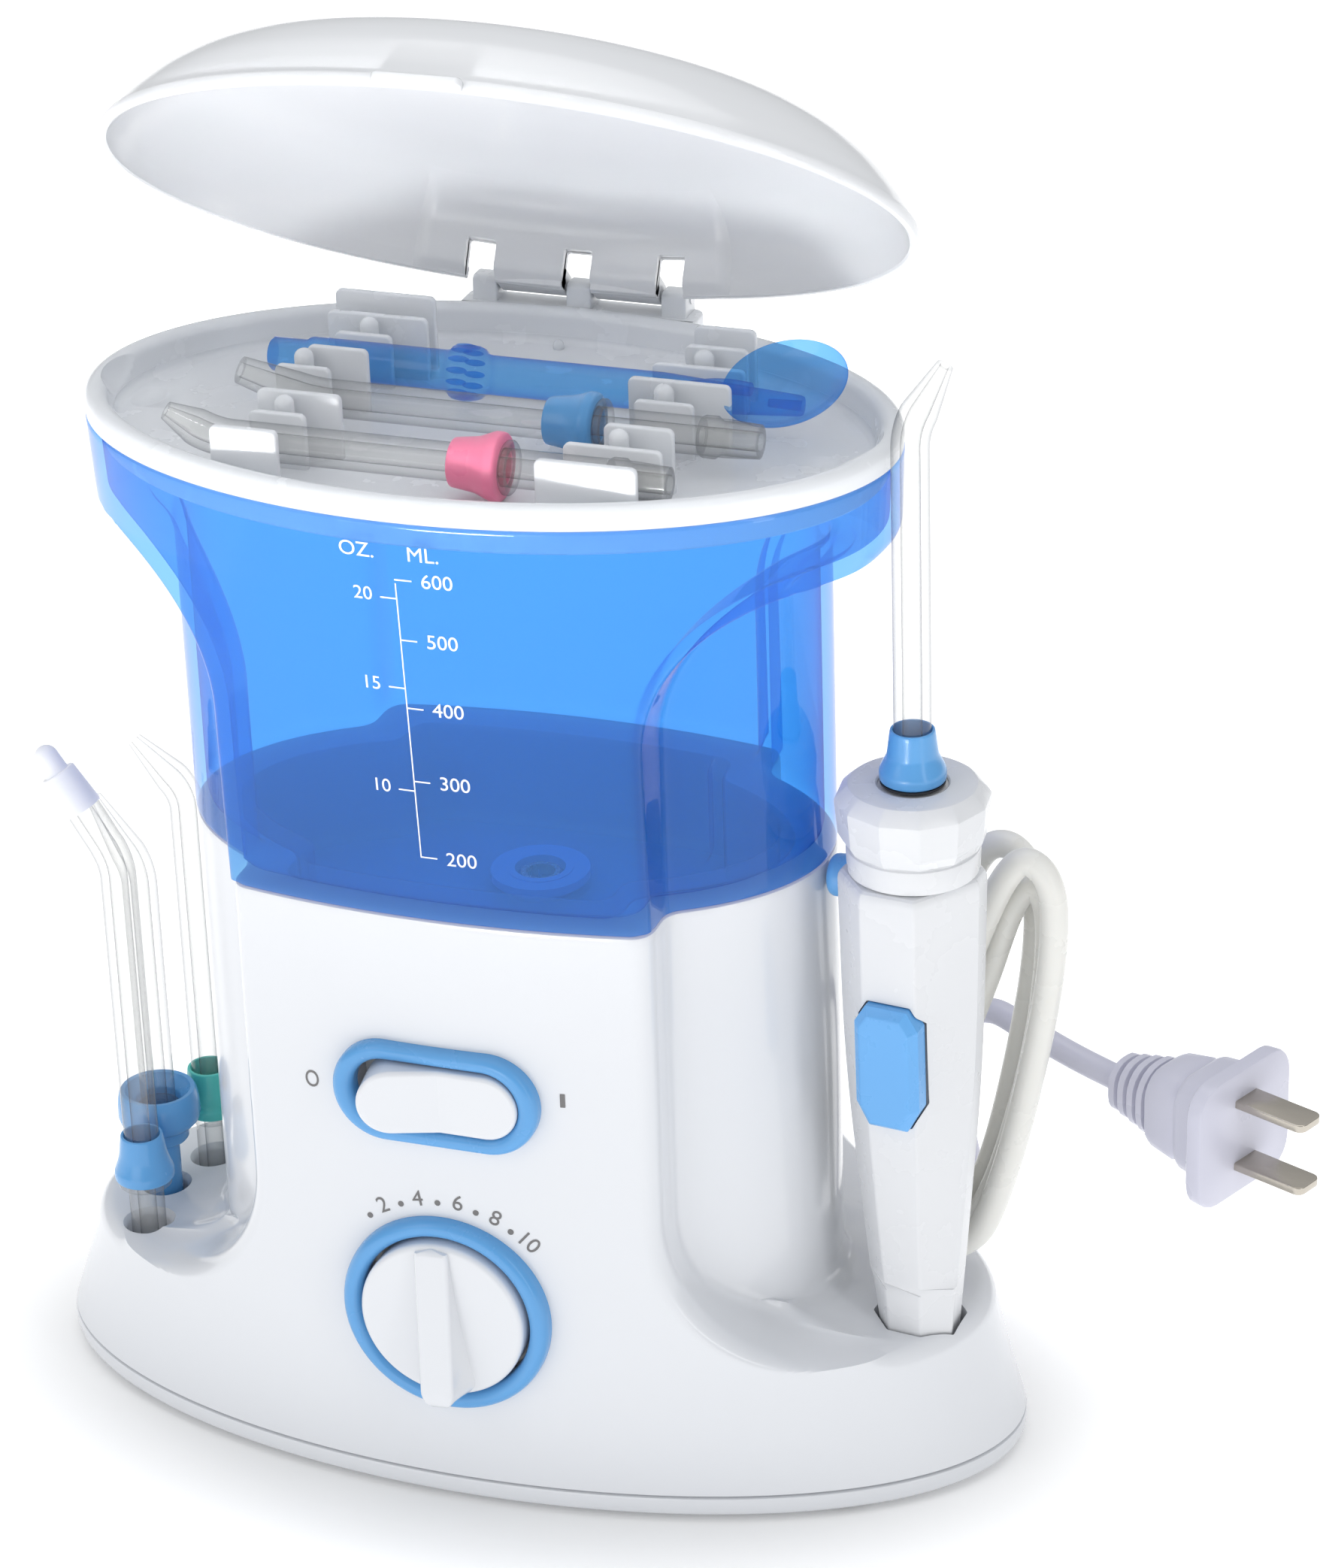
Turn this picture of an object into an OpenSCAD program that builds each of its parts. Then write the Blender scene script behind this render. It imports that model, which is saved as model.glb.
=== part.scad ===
// Countertop water flosser: powered base, lift-off tank, tip tray with hinged lid, wand and spray tips.
// Millimetres, +Z up, front faces -Y, origin at the centre of the underside.

/* [Base and body] */
// Half length of the base oval
base_rx = 92.9; // [88:0.5:96]
// Half depth of the base oval
base_ry = 45.4; // [44:0.2:47]
// Height of the ledge that carries the tips and the wand
ledge_z = 29; // [27:0.5:31]
// Height of the joint between body and tank
joint_z = 116; // [112:0.5:120]
// Half length of the upright column between the panels
column_rx = 58.7; // [57:0.1:60]
// Half width of the front and back panels at the joint
panel_half = 38.3; // [36:0.1:40]
// Wall thickness of the body shell
shell_wall = 2.4; // [2:0.1:2.8]

/* [Tank, tray and lid] */
// Half length of the tank rim
rim_rx = 72; // [70:0.2:73]
// Half depth of the tank rim
rim_ry = 45.7; // [44:0.1:46]
// Height of the tank rim
rim_z = 191.7; // [186:0.1:196]
// Wall thickness of the tank
tank_wall = 2.2; // [1.8:0.1:2.6]
// Depth of the tank's basin below the joint
basin_depth = 20; // [16:1:21]
// Angle the lid stands open at rest
lid_open = 41; // [0:1:80]

/* [Controls] */
// Outer radius of the dial ring
dial_r = 19.3; // [17:0.1:19.5]
// Outer length of the switch ring
switch_len = 37.9; // [34:0.1:38]
// Outer height of the switch ring
switch_h = 19.3; // [17:0.1:19.5]
// Turn of the dial pointer from upright, positive clockwise seen from the front
dial_turn = -4; // [-38:1:48]

/* [Wand and tips] */
// Width of the wand across its flats at the top
wand_w = 24.3; // [22:0.1:25]
// Radius of the clear tip tubes
tube_r = 3.25; // [2.8:0.05:3.3]
// Bore radius of the clear tip tubes
tube_bore = 1.7; // [1.2:0.1:2]

/* [Pump] */
// Throw of the crank pin
crank_throw = 3; // [2:0.1:3.5]
// Teeth on the motor pinion
pinion_teeth = 12; // [12:1:12]
// Teeth on the crank gear
gear_teeth = 48; // [48:1:48]

/* [Hidden] */

gap = 0.05;
big = 400;
elbow = 1.06;
slice = 0.02;
white = [0.93, 0.94, 0.96];
sky = [0.36, 0.62, 0.88];
azure = [0.15, 0.5, 0.9, 0.6];
clear = [0.85, 0.88, 0.9, 0.5];
steel = [0.72, 0.72, 0.74];
dark = [0.12, 0.12, 0.13];
pink = [0.95, 0.55, 0.68];
teal = [0.35, 0.8, 0.75];
lavender = [0.86, 0.86, 0.92];

// Outer loft: half lengths, half depths and centre offsets at its levels
base_cy = 3.2;
plate_z0 = 1;
plate_z1 = 5.2;
ledge_rx = base_rx - 6.6;
ledge_ry = 46;
ledge_cy = 4.8;
joint_rx = 90.7;
joint_ry = 41.7;
joint_cy = 2.2;
band_h = 15;
band_z = rim_z - band_h;
band_ry = rim_ry - 1.1;
column_ry = 37.2;
foot_fillet = 30;
neck_fillet = 27;

// Screws, feet and mounts
screw_at = [[-50, -24], [50, -24], [-50, 30], [50, 30]];
screw_r = 1.5;
foot_at = [[-66, -20], [66, -20], [-66, 26], [66, 26]];
foot_r = 5;
foot_t = 2;
centre_pad_r = 12;

// Controls on the front panel
dial_z = 39.1;
dial_face_y = -43.1;
ring_back_y = -38.4;
switch_z = 82.4;
switch_face_y = -42.2;
switch_in_len = 30.4;
switch_in_h = 12.8;
rocker_len = 28.4;
rocker_h = 12.2;
rocker_pivot_y = -34.2;
rocker_tilt = 6;
dial_knob_r = 15.3;
spindle_r = 3;

// Pump train
gear_x = -4;
gear_y = 8;
gear_module = 0.8;
gear_pitch_r = gear_module * gear_teeth / 2;
pinion_pitch_r = gear_module * pinion_teeth / 2;
motor_x = gear_x - gear_pitch_r - pinion_pitch_r - 0.15;
gear_z0 = 38.5;
gear_z1 = 43.5;
pump_z = 33.5;
piston_r = 6;
rod_len = 18;
pump_end = 44;
port_x = 48;
port_y = 4;

// Tank basin and valve
basin_z = joint_z - basin_depth;
basin_step = 8;
basin_gap = 0.4;
valve_x = 0;
valve_y = 14;
spigot_r = 7;

// Wand
wand_x = 75.5;
wand_y = -4.6;
wand_z = 119.5;
wand_turn = 16;
wand_foot_z = 24;
collar_top = 135.8;
seam_y = wand_y - 1;

// Tips in the ledge: position, height of the bend
front_tip = [-71.2, -11.9];
middle_tip = [-73.8, 1.5];
rear_tip = [-68.7, 13.4];
front_bend_z = 90.5;
front_bend = -31;
middle_bend_z = 82;
middle_base_h = 27;
rear_bend_z = 92.5;
tip_hole_r = 3.9;
tip_foot_z = 14.1;

// Tray
tray_z = rim_z + gap;
tray_top = 196;
tray_floor = 190.3;
tray_tip_z = 196.5;
pink_x = 42.3;
pink_y = -29.2;
blue_y = -8.2;
scraper_y = 8.6;
clip_t = 1.4;
hinge_y = 48.3;
hinge_z = 198;
post_at = [-17.7, 0, 17.7];
post_w = 4.6;
pin_r = 1;
lid_z = tray_top + gap;

// Wand outline from the top down: height, share of wand_w, shift to the rear
wand_sections = [[119.5, 1, 0], [90, 0.955, 0], [74, 0.893, 0.3], [50, 0.741, 1], [29, 0.576, 1.8],
  [24, 0.56, 1.9]];

// Hose, cord and plug
hose_at = [70, 20];
hose_path = [[hose_at[0], hose_at[1], 32.1], [70.3, 19.6, 42], [74.5, 19, 100], [80.2, 19, 111],
  [86, 18.5, 100],
  [81.5, 17.5, 44], [78.6, 15.8, 38.5], [76.4, 13, 46], [83, 11.8, 104], [89.3, 11.8, 113.5],
  [95.3, 12, 101], [96, 12, 84], [88.8, 11.8, 54], [82.5, 10, 37.5], [77, 9.6, 36.6], [75.5, 9, 39.8],
  [75.5, 7, 40]];
cord_at = [62, 34, 15];
cord_path = [[60.6, 33, 15], [70.5, 39.95, 15], [72, 47, 19], [66, 52, 40], [66, 50, 80], [72, 48, 76],
  [80, 44.2, 66], [90, 40, 62], [102, 35.8, 60.3], [113, 30.9, 60]];
plug_at = [128, 24.2, 60];
plug_yaw = -24;

module oval(rx, ry, h, cy = 0, z = 0)
  translate([0, cy, z]) linear_extrude(h) scale([rx, ry]) circle(r = 1, $fn = 96);

module oval_slice(rx, ry, cy, z)
  translate([0, cy, z]) linear_extrude(slice) scale([rx, ry]) circle(r = 1, $fn = 48);

module stadium(len, h)
  union() {
    square([len - h, h], center = true);
    for (s = [-1, 1]) translate([s * (len - h) / 2, 0]) circle(d = h, $fn = 64);
  }

// A solid along -Y from y0 to y1, drawn in X and Z
module along_y(y0, y1, z = 0, x = 0)
  translate([x, y1, z]) rotate([90, 0, 0]) linear_extrude(y1 - y0) children();

module rod_x(r, x0, x1, y, z, fn = 48)
  translate([x0, y, z]) rotate([0, 90, 0]) cylinder(r = r, h = x1 - x0, $fn = fn);

module beam(a, b, r, fn) {
  d = b - a;
  translate(a) rotate([0, acos(d[2] / norm(d)), atan2(d[1], d[0])])
    cylinder(r = r, h = norm(d), $fn = fn);
}

module path(points, r, fn = 24)
  union() {
    for (i = [0 : len(points) - 2]) beam(points[i], points[i + 1], r, fn);
    for (i = [1 : len(points) - 2]) translate(points[i]) sphere(r = r * elbow, $fn = fn);
  }

// Side recesses left and right of the panels, with a rounded corner at one end
module recess(z0, z1, half, corner, up)
  for (s = [0, 1]) mirror([s, 0]) {
    z = up ? z1 - corner : z0 + corner;
    translate([half + corner, z0]) square([60, z1 - z0]);
    translate([half, up ? z0 : z]) square([60, z1 - z0 - corner]);
    translate([half + corner, z]) circle(r = corner, $fn = 96);
  }

module panel_outline(z0, z1, z_corner, half, corner, up)
  along_y(-70, 70)
    difference() {
      translate([-100, z0]) square([200, z1 - z0]);
      if (up) recess(z0 - 1, z_corner, half, corner, true);
      else recess(z_corner, z1 + 1, half, corner, false);
    }

// Basin under the tank: the outline of column and panels, set in by basin_step
module basin(grow, z0, z1)
  translate([0, joint_cy, z0]) linear_extrude(z1 - z0) union() {
    d = basin_step - grow;
    scale([column_rx - d, column_ry - d]) circle(r = 1, $fn = 96);
    intersection() {
      scale([joint_rx - d, joint_ry - d]) circle(r = 1, $fn = 96);
      square([2 * (panel_half - d), big], center = true);
    }
  }

module body_volume(inset) {
  top = joint_z - inset;
  hull() {
    oval_slice(base_rx - inset, base_ry - inset, base_cy, plate_z1 + gap - (inset > 0 ? 1 : 0));
    oval_slice(ledge_rx - inset, ledge_ry - inset, ledge_cy, ledge_z - inset);
  }
  intersection() {
    hull() {
      oval_slice(ledge_rx - 0.4 - inset, ledge_ry - 0.4 - inset, ledge_cy, ledge_z - inset - 6);
      oval_slice(joint_rx - inset, joint_ry - inset, joint_cy, top + 2);
    }
    panel_outline(ledge_z - inset - 3, top, ledge_z - inset, panel_half - inset, foot_fillet + inset, false);
  }
  oval(column_rx - inset, column_ry - inset, joint_z - ledge_z + 3, joint_cy, ledge_z - 3 - inset);
}

module base_plate()
  color(white) difference() {
    union() {
      oval(base_rx, base_ry, plate_z1 - plate_z0, base_cy, plate_z0);
      cylinder(r = centre_pad_r, h = plate_z1, $fn = 64);
    }
    for (p = screw_at) translate([p[0], p[1], 0]) {
      cylinder(r = screw_r + 0.2, h = 10, $fn = 32);
      cylinder(r = 3.5, h = 3.1, $fn = 32);
    }
    for (p = foot_at) translate([p[0], p[1], 0]) cylinder(r = foot_r + gap, h = foot_t + gap, $fn = 48);
  }

module rubber_feet()
  color(dark) for (p = foot_at) translate([p[0], p[1], 0]) cylinder(r = foot_r, h = foot_t, $fn = 48);

module base_screws()
  color(steel) for (p = screw_at) translate([p[0], p[1], 0]) difference() {
    union() {
      translate([0, 0, 1.2]) cylinder(r = 3.2, h = 1.9, $fn = 32);
      translate([0, 0, 3]) cylinder(r = screw_r, h = 13, $fn = 32);
    }
    for (a = [0, 90]) rotate([0, 0, a]) translate([-2, -0.4, 1]) cube([4, 0.8, 1.1]);
  }

module cradle_prism(grow, z0, z1)
  translate([wand_x, wand_y + 1.9, z0]) rotate([0, 0, wand_turn])
    linear_extrude(z1 - z0) circle(r = 7.7 + grow, $fn = 8);

module body_shell()
  color(white) difference() {
    union() {
      difference() {
        body_volume(0);
        body_volume(shell_wall);
      }
      along_y(-38.3, -35.9, switch_z) square([43, 25], center = true);
      along_y(-39.4, -36.2, dial_z) circle(r = dial_r + 1.6, $fn = 96);
      for (p = screw_at) translate([p[0], p[1], plate_z1 + gap]) cylinder(r = 4, h = 26, $fn = 32);
      for (p = [front_tip, middle_tip, rear_tip])
        translate([p[0], p[1], 12]) cylinder(r = 6.2, h = 15.5, $fn = 48);
      cradle_prism(2.2, 20.5, 27.5);
      basin(basin_gap + shell_wall, basin_z - basin_gap - shell_wall, joint_z - 1);
      translate([valve_x, valve_y, basin_z - 11]) cylinder(r = spigot_r + 3, h = 9.5, $fn = 64);
    }
    basin(basin_gap, basin_z - basin_gap, joint_z + 1);
    along_y(-60, ring_back_y, switch_z) stadium(switch_len + 2 * gap, switch_h + 2 * gap);
    along_y(-60, -30, switch_z) stadium(switch_in_len, switch_in_h);
    along_y(-60, ring_back_y, dial_z) circle(r = dial_r + gap, $fn = 96);
    along_y(-60, -30, dial_z) circle(r = spindle_r + gap, $fn = 48);
    for (p = screw_at) translate([p[0], p[1], 0]) cylinder(r = screw_r + gap, h = 22, $fn = 32);
    for (p = [front_tip, middle_tip, rear_tip]) translate([p[0], p[1], 0]) {
      translate([0, 0, 13.5]) cylinder(r = 4.7, h = 13, $fn = 48);
      translate([0, 0, 26]) cylinder(r = tip_hole_r, h = 5, $fn = 48);
    }
    cradle_prism(0, 22.5, 32);
    translate([valve_x, valve_y, basin_z - 9]) cylinder(r = spigot_r + 0.1, h = 12, $fn = 64);
    translate([valve_x, valve_y, basin_z - 15]) cylinder(r = 2.5, h = 12, $fn = 48);
    translate(cord_at) rotate([0, 90, 35]) translate([0, 0, -6]) cylinder(r = 5.1, h = 24, $fn = 48);
    translate([hose_at[0], hose_at[1], 20]) cylinder(r = 4.1, h = 12, $fn = 48);
  }

module switch_ring()
  color(sky) difference() {
    along_y(switch_face_y, ring_back_y - gap, switch_z) stadium(switch_len, switch_h);
    along_y(-60, -30, switch_z) stadium(switch_in_len, switch_in_h);
    for (s = [-1, 1]) translate([0, switch_face_y, switch_z + s * (switch_h / 2)])
      rotate([45, 0, 0]) cube([big, 1.2, 1.2], center = true);
  }

module dial_ring()
  color(sky) translate([0, ring_back_y - gap, dial_z]) rotate([90, 0, 0]) rotate_extrude($fn = 96)
    polygon([[15.8, 0], [dial_r, 0], [dial_r, 2.6], [dial_r - 1.2, 4.2], [17.2, 4.65], [15.8, 3.6]]);

module switch_module()
  color(dark) difference() {
    union() {
      translate([-13, -31, switch_z - 9]) cube([26, 12, 18]);
      for (s = [-1, 1]) translate([-3, -35.85, switch_z + s * 7.6 - 0.8]) cube([6, 6, 1.6]);
      for (x = [-8, 8]) translate([x - 1, -19.2, switch_z - 2.4]) cube([2, 6, 4.8]);
    }
    translate([0, rocker_pivot_y, switch_z - 20]) cylinder(r = 1.25, h = 40, $fn = 32);
  }

module switch_rocker()
  color(white) translate([0, rocker_pivot_y, switch_z]) rotate([0, 0, rocker_tilt]) difference() {
    union() {
      along_y(-9.4, -2.6) stadium(rocker_len, rocker_h);
      translate([-2.5, -3.2, -rocker_h / 2]) cube([5, 4.4, rocker_h]);
      translate([0, 0, -8.3]) cylinder(r = 1.2, h = 16.6, $fn = 32);
    }
    for (s = [0, 1]) mirror([s, 0, 0]) translate([0, -8.2, 0]) rotate([0, 0, -rocker_tilt])
      translate([-1, -5, -10]) cube([20, 5, 20]);
  }

module pressure_dial()
  color(white) translate([0, 0, dial_z]) rotate([0, dial_turn, 0]) difference() {
    union() {
      along_y(-44.2, -39.6) circle(r = dial_knob_r, $fn = 96);
      hull() {
        along_y(-50.5, -43, -10) circle(r = 5.4, $fn = 32);
        along_y(-48.5, -43, 12.6) circle(r = 1.2, $fn = 24);
      }
    }
    along_y(-47, -30) circle(r = spindle_r + gap, $fn = 48);
  }

module dial_spindle()
  color(steel) along_y(-46.9, -26, dial_z) circle(r = spindle_r, $fn = 48);

module pressure_valve()
  color(dark) difference() {
    union() {
      along_y(-35.2, -16, dial_z) circle(r = 8.5, $fn = 48);
      along_y(-16.5, -12.2, dial_z) circle(r = 3, $fn = 32);
      translate([0, -24, dial_z - 14]) cylinder(r = 3, h = 8, $fn = 32);
    }
    along_y(-40, -25.9, dial_z) circle(r = spindle_r + gap, $fn = 48);
    along_y(-24, -12, dial_z) circle(r = 1.5, $fn = 24);
    translate([0, -24, dial_z - 15]) cylinder(r = 1.5, h = 15, $fn = 24);
  }

module circuit_board()
  color([0.1, 0.35, 0.2]) union() {
    translate([0, 25, 50]) cube([35, 1.6, 40]);
    translate([4, 20, 72]) cube([12, 5.2, 12]);
    translate([22, 21, 54]) cube([9, 4.2, 9]);
    translate([24, 25.2, 72]) rotate([90, 0, 0]) cylinder(r = 4, h = 9, $fn = 48);
  }

module motor()
  color(steel) union() {
    translate([motor_x, gear_y, 47]) cylinder(r = 15, h = 42, $fn = 96);
    translate([motor_x, gear_y, 88]) cylinder(r = 5, h = 4, $fn = 48);
    translate([motor_x, gear_y, 36]) cylinder(r = 1, h = 12, $fn = 32);
  }

module gear_chassis()
  color(dark) difference() {
    union() {
      translate([motor_x - 16, gear_y - 23.5, 44.2]) cube([67, 37, 2.7]);
      for (x = [motor_x - 14, 18], y = [gear_y - 21, gear_y + 9])
        translate([x, y, plate_z1 + gap]) cube([4, 4, 39.5]);
    }
    translate([motor_x, gear_y, 40]) cylinder(r = 3, h = 10, $fn = 32);
    translate([gear_x, gear_y, 40]) cylinder(r = 2.05, h = 10, $fn = 48);
  }

module gear_shape(teeth, gear_m) {
  r = gear_m * teeth / 2;
  circle(r = r - gear_m * 0.95, $fn = 96);
  for (i = [0 : teeth - 1]) rotate([0, 0, 360 * i / teeth])
    polygon([[r - 1.2 * gear_m, -0.52 * gear_m * 1.3], [r + 0.75 * gear_m, -0.26 * gear_m],
      [r + 0.75 * gear_m, 0.26 * gear_m], [r - 1.2 * gear_m, 0.52 * gear_m * 1.3]]);
}

module motor_pinion()
  color([0.8, 0.65, 0.3]) translate([motor_x, gear_y, gear_z0 - 1]) difference() {
    linear_extrude(gear_z1 - gear_z0 + 0.8) rotate([0, 0, 180 / pinion_teeth])
      gear_shape(pinion_teeth, gear_module);
    translate([0, 0, -1]) cylinder(r = 1.03, h = 10, $fn = 32);
  }

module crank_gear()
  color([0.9, 0.9, 0.86]) union() {
    translate([gear_x, gear_y, gear_z0]) linear_extrude(gear_z1 - gear_z0)
      gear_shape(gear_teeth, gear_module);
    translate([gear_x, gear_y, gear_z1 - 0.5]) cylinder(r = 2, h = 4.5, $fn = 48);
    translate([gear_x + crank_throw, gear_y, 31]) cylinder(r = 2, h = 8, $fn = 48);
  }

module connecting_rod()
  color(steel) difference() {
    union() {
      translate([gear_x + crank_throw, gear_y, pump_z - 1.5]) cylinder(r = 4, h = 3, $fn = 48);
      translate([gear_x + crank_throw + rod_len, gear_y, pump_z - 1.5]) cylinder(r = 3, h = 3, $fn = 48);
      translate([gear_x + crank_throw + 2.5, gear_y - 1.8, pump_z - 1.5]) cube([rod_len - 4.5, 3.6, 3]);
    }
    translate([gear_x + crank_throw, gear_y, 0]) cylinder(r = 2.05, h = big, $fn = 48);
    translate([gear_x + crank_throw + rod_len, gear_y, 0]) cylinder(r = 1.5, h = big, $fn = 32);
  }

module pump_piston()
  color([0.85, 0.85, 0.8]) union() {
    rod_x(piston_r, 28, 40, gear_y, pump_z);
    for (z = [pump_z - 3.6, pump_z + 2.1]) translate([15, gear_y - 2.5, z]) cube([14, 5, 1.5]);
  }

module pump_housing()
  color(white) difference() {
    union() {
      rod_x(9, 25, pump_end, gear_y, pump_z, 64);
      translate([28, gear_y - 6, plate_z1 + gap]) cube([14, 12, 22]);
    }
    rod_x(piston_r + gap, 20, 50, gear_y, pump_z, 64);
  }

module pump_head()
  color(white) difference() {
    union() {
      translate([pump_end + gap, gear_y - 8, pump_z - 9]) cube([7.4, 16, 18]);
      translate([port_x, gear_y + port_y, pump_z + 8]) cylinder(r = 3, h = 8, $fn = 32);
      translate([port_x, gear_y - 15, pump_z - 5]) rotate([-90, 0, 0]) cylinder(r = 3, h = 8, $fn = 32);
    }
    for (y = [gear_y - port_y, gear_y + port_y]) {
      translate([port_x, y, pump_z - 7]) cylinder(r = 2.3, h = 5.2, $fn = 48);
      rod_x(1.2, pump_end - 1, port_x, y, pump_z - 4, 24);
    }
    translate([port_x, gear_y + port_y, pump_z - 3]) cylinder(r = 1.5, h = 30, $fn = 24);
    translate([port_x, gear_y - 20, pump_z - 5]) rotate([-90, 0, 0]) cylinder(r = 1.5, h = 15, $fn = 24);
  }

module inlet_ball()
  color(steel) translate([port_x, gear_y + port_y, pump_z - 4.8]) sphere(r = 2, $fn = 32);

module outlet_ball()
  color(steel) translate([port_x, gear_y - port_y, pump_z - 4.8]) sphere(r = 2, $fn = 32);

module inlet_pipe()
  color([0.8, 0.8, 0.75]) union() {
    path([[port_x, gear_y + port_y, pump_z + 16.1], [port_x, gear_y + port_y, 56], [34, 8, 82],
      [valve_x, valve_y, basin_z - 17]], 2.6);
    translate([valve_x, valve_y, basin_z - 17.1]) cylinder(r = 2.6, h = 6, $fn = 32);
  }

module outlet_pipe()
  color([0.8, 0.8, 0.75])
    path([[port_x, gear_y - 15.1, pump_z - 5], [port_x, -14, pump_z - 5], [30, -23, 16], [0, -24, 14],
      [0, -24, 25]], 2.4);

module tank_seat_seal()
  color(dark) translate([valve_x, valve_y, basin_z - 9 + gap]) difference() {
    cylinder(r = spigot_r, h = 1.4, $fn = 64);
    translate([0, 0, -1]) cylinder(r = 3.6, h = 5, $fn = 48);
  }

module hose_nozzle()
  color(white) difference() {
    union() {
      translate([hose_at[0], hose_at[1], 22]) cylinder(r = 4, h = 10, $fn = 48);
      translate([hose_at[0], hose_at[1], 24.4]) cylinder(r = 5.5, h = 2, $fn = 48);
    }
    translate([hose_at[0], hose_at[1], 20]) cylinder(r = 2.4, h = 20, $fn = 48);
  }

module water_hose()
  color([0.94, 0.94, 0.92]) path(hose_path, 2.5, 14);

module power_cord()
  color(lavender) path(cord_path, 2.4);

module cord_bushing()
  color(lavender) translate(cord_at) rotate([0, 90, 35]) difference() {
    union() {
      translate([0, 0, 2]) cylinder(r = 5, h = 5, $fn = 48);
      translate([0, 0, 6.8]) cylinder(r = 6, h = 2, $fn = 48);
    }
    translate([0, 0, -5]) cylinder(r = 2.6, h = 30, $fn = 48);
  }

module plug_body()
  color(lavender) translate(plug_at) rotate([0, 0, plug_yaw]) rotate([0, 90, 0]) difference() {
    union() {
      translate([0, 0, -3]) linear_extrude(3) union() {
        square([24, 19], center = true);
        square([17, 26], center = true);
        for (x = [-8.5, 8.5], y = [-9.5, 9.5]) translate([x, y]) circle(r = 3.5, $fn = 32);
      }
      translate([0, 0, -8]) linear_extrude(5) square([19, 17], center = true);
      translate([0, 0, -15]) cylinder(r = 8, h = 7.5, $fn = 48);
      for (i = [0 : 3]) translate([0, 0, -24 + 2.4 * i]) cylinder(r = 4.8 + 0.5 * i, h = 1.6, $fn = 48);
      translate([0, 0, -24]) cylinder(r = 4, h = 10, $fn = 48);
    }
    translate([0, 0, -40]) cylinder(r = 2.45, h = 34, $fn = 32);
    for (x = [-6.35, 6.35]) translate([x - 0.85, -3.25, -7]) cube([1.7, 6.5, 10]);
  }

module plug_blades()
  color(steel) translate(plug_at) rotate([0, 0, plug_yaw]) rotate([0, 90, 0])
    for (x = [-6.35, 6.35]) translate([x - 0.75, -3.15, -6.9]) cube([1.5, 6.3, 23]);

module tank_volume(inset) {
  hull() {
    oval_slice(rim_rx - inset, rim_ry - inset, 0, rim_z - slice);
    oval_slice(rim_rx - 0.6 - inset, band_ry - inset, 0.3, band_z + inset);
  }
  intersection() {
    hull() {
      oval_slice(rim_rx - 0.6 - inset, band_ry - inset, 0.3, band_z + inset);
      oval_slice(joint_rx - inset, joint_ry - inset, joint_cy, joint_z + gap + inset);
    }
    panel_outline(joint_z - 1, band_z + 5, band_z + inset, panel_half - inset, neck_fillet + inset, true);
  }
  oval(column_rx - inset, column_ry - inset, band_z - joint_z - gap, joint_cy, joint_z + gap + inset);
}

module tank()
  color(azure) difference() {
    union() {
      tank_volume(0);
      basin(0, basin_z, joint_z + 1);
    }
    tank_volume(tank_wall);
    basin(-tank_wall, basin_z + tank_wall, joint_z + 3);
    translate([-100, -60, rim_z - 3]) linear_extrude(6) translate([100, 60])
      scale([rim_rx - tank_wall, rim_ry - tank_wall]) circle(r = 1, $fn = 96);
    translate([valve_x, valve_y, basin_z - 5]) cylinder(r = 6.05, h = 12, $fn = 64);
  }

module tank_valve_body()
  color(white) translate([valve_x, valve_y, 0]) difference() {
    union() {
      translate([0, 0, basin_z - 6.5]) cylinder(r = 6, h = 10.5, $fn = 64);
      translate([0, 0, basin_z + tank_wall + gap]) cylinder(r = 9, h = 1.6, $fn = 64);
    }
    translate([0, 0, basin_z - 5]) cylinder(r = 4.6, h = 12, $fn = 48);
    translate([0, 0, basin_z - 8]) cylinder(r = 2.05, h = 12, $fn = 48);
  }

module tank_valve_plunger()
  color(dark) translate([valve_x, valve_y, 0]) union() {
    translate([0, 0, basin_z - 8.4]) cylinder(r = 2, h = 9, $fn = 48);
    translate([0, 0, basin_z - 2.4]) cylinder(r = 4, h = 1.5, $fn = 48);
  }

module tank_valve_spring()
  color(steel) translate([valve_x, valve_y, basin_z - 0.85]) difference() {
    cylinder(r = 3.6, h = 4, $fn = 48);
    translate([0, 0, -1]) cylinder(r = 2.7, h = 8, $fn = 48);
  }

module clip(x0, x1, y, top)
  translate([0, y + clip_t / 2, 0]) rotate([90, 0, 0]) linear_extrude(clip_t) union() {
    translate([x0, tray_floor - 0.5]) square([x1 - x0, top - tray_floor - 0.5]);
    translate([x0 + 1, tray_floor]) square([x1 - x0 - 2, top - tray_floor]);
    for (x = [x0 + 1, x1 - 1]) translate([x, top - 1]) circle(r = 1, $fn = 24);
  }

module bump(x, y, top)
  translate([x, y, tray_floor - 0.5]) union() {
    cylinder(r = 1.7, h = top - tray_floor, $fn = 32);
    translate([0, 0, top - tray_floor]) sphere(r = 1.7, $fn = 32);
  }

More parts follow.
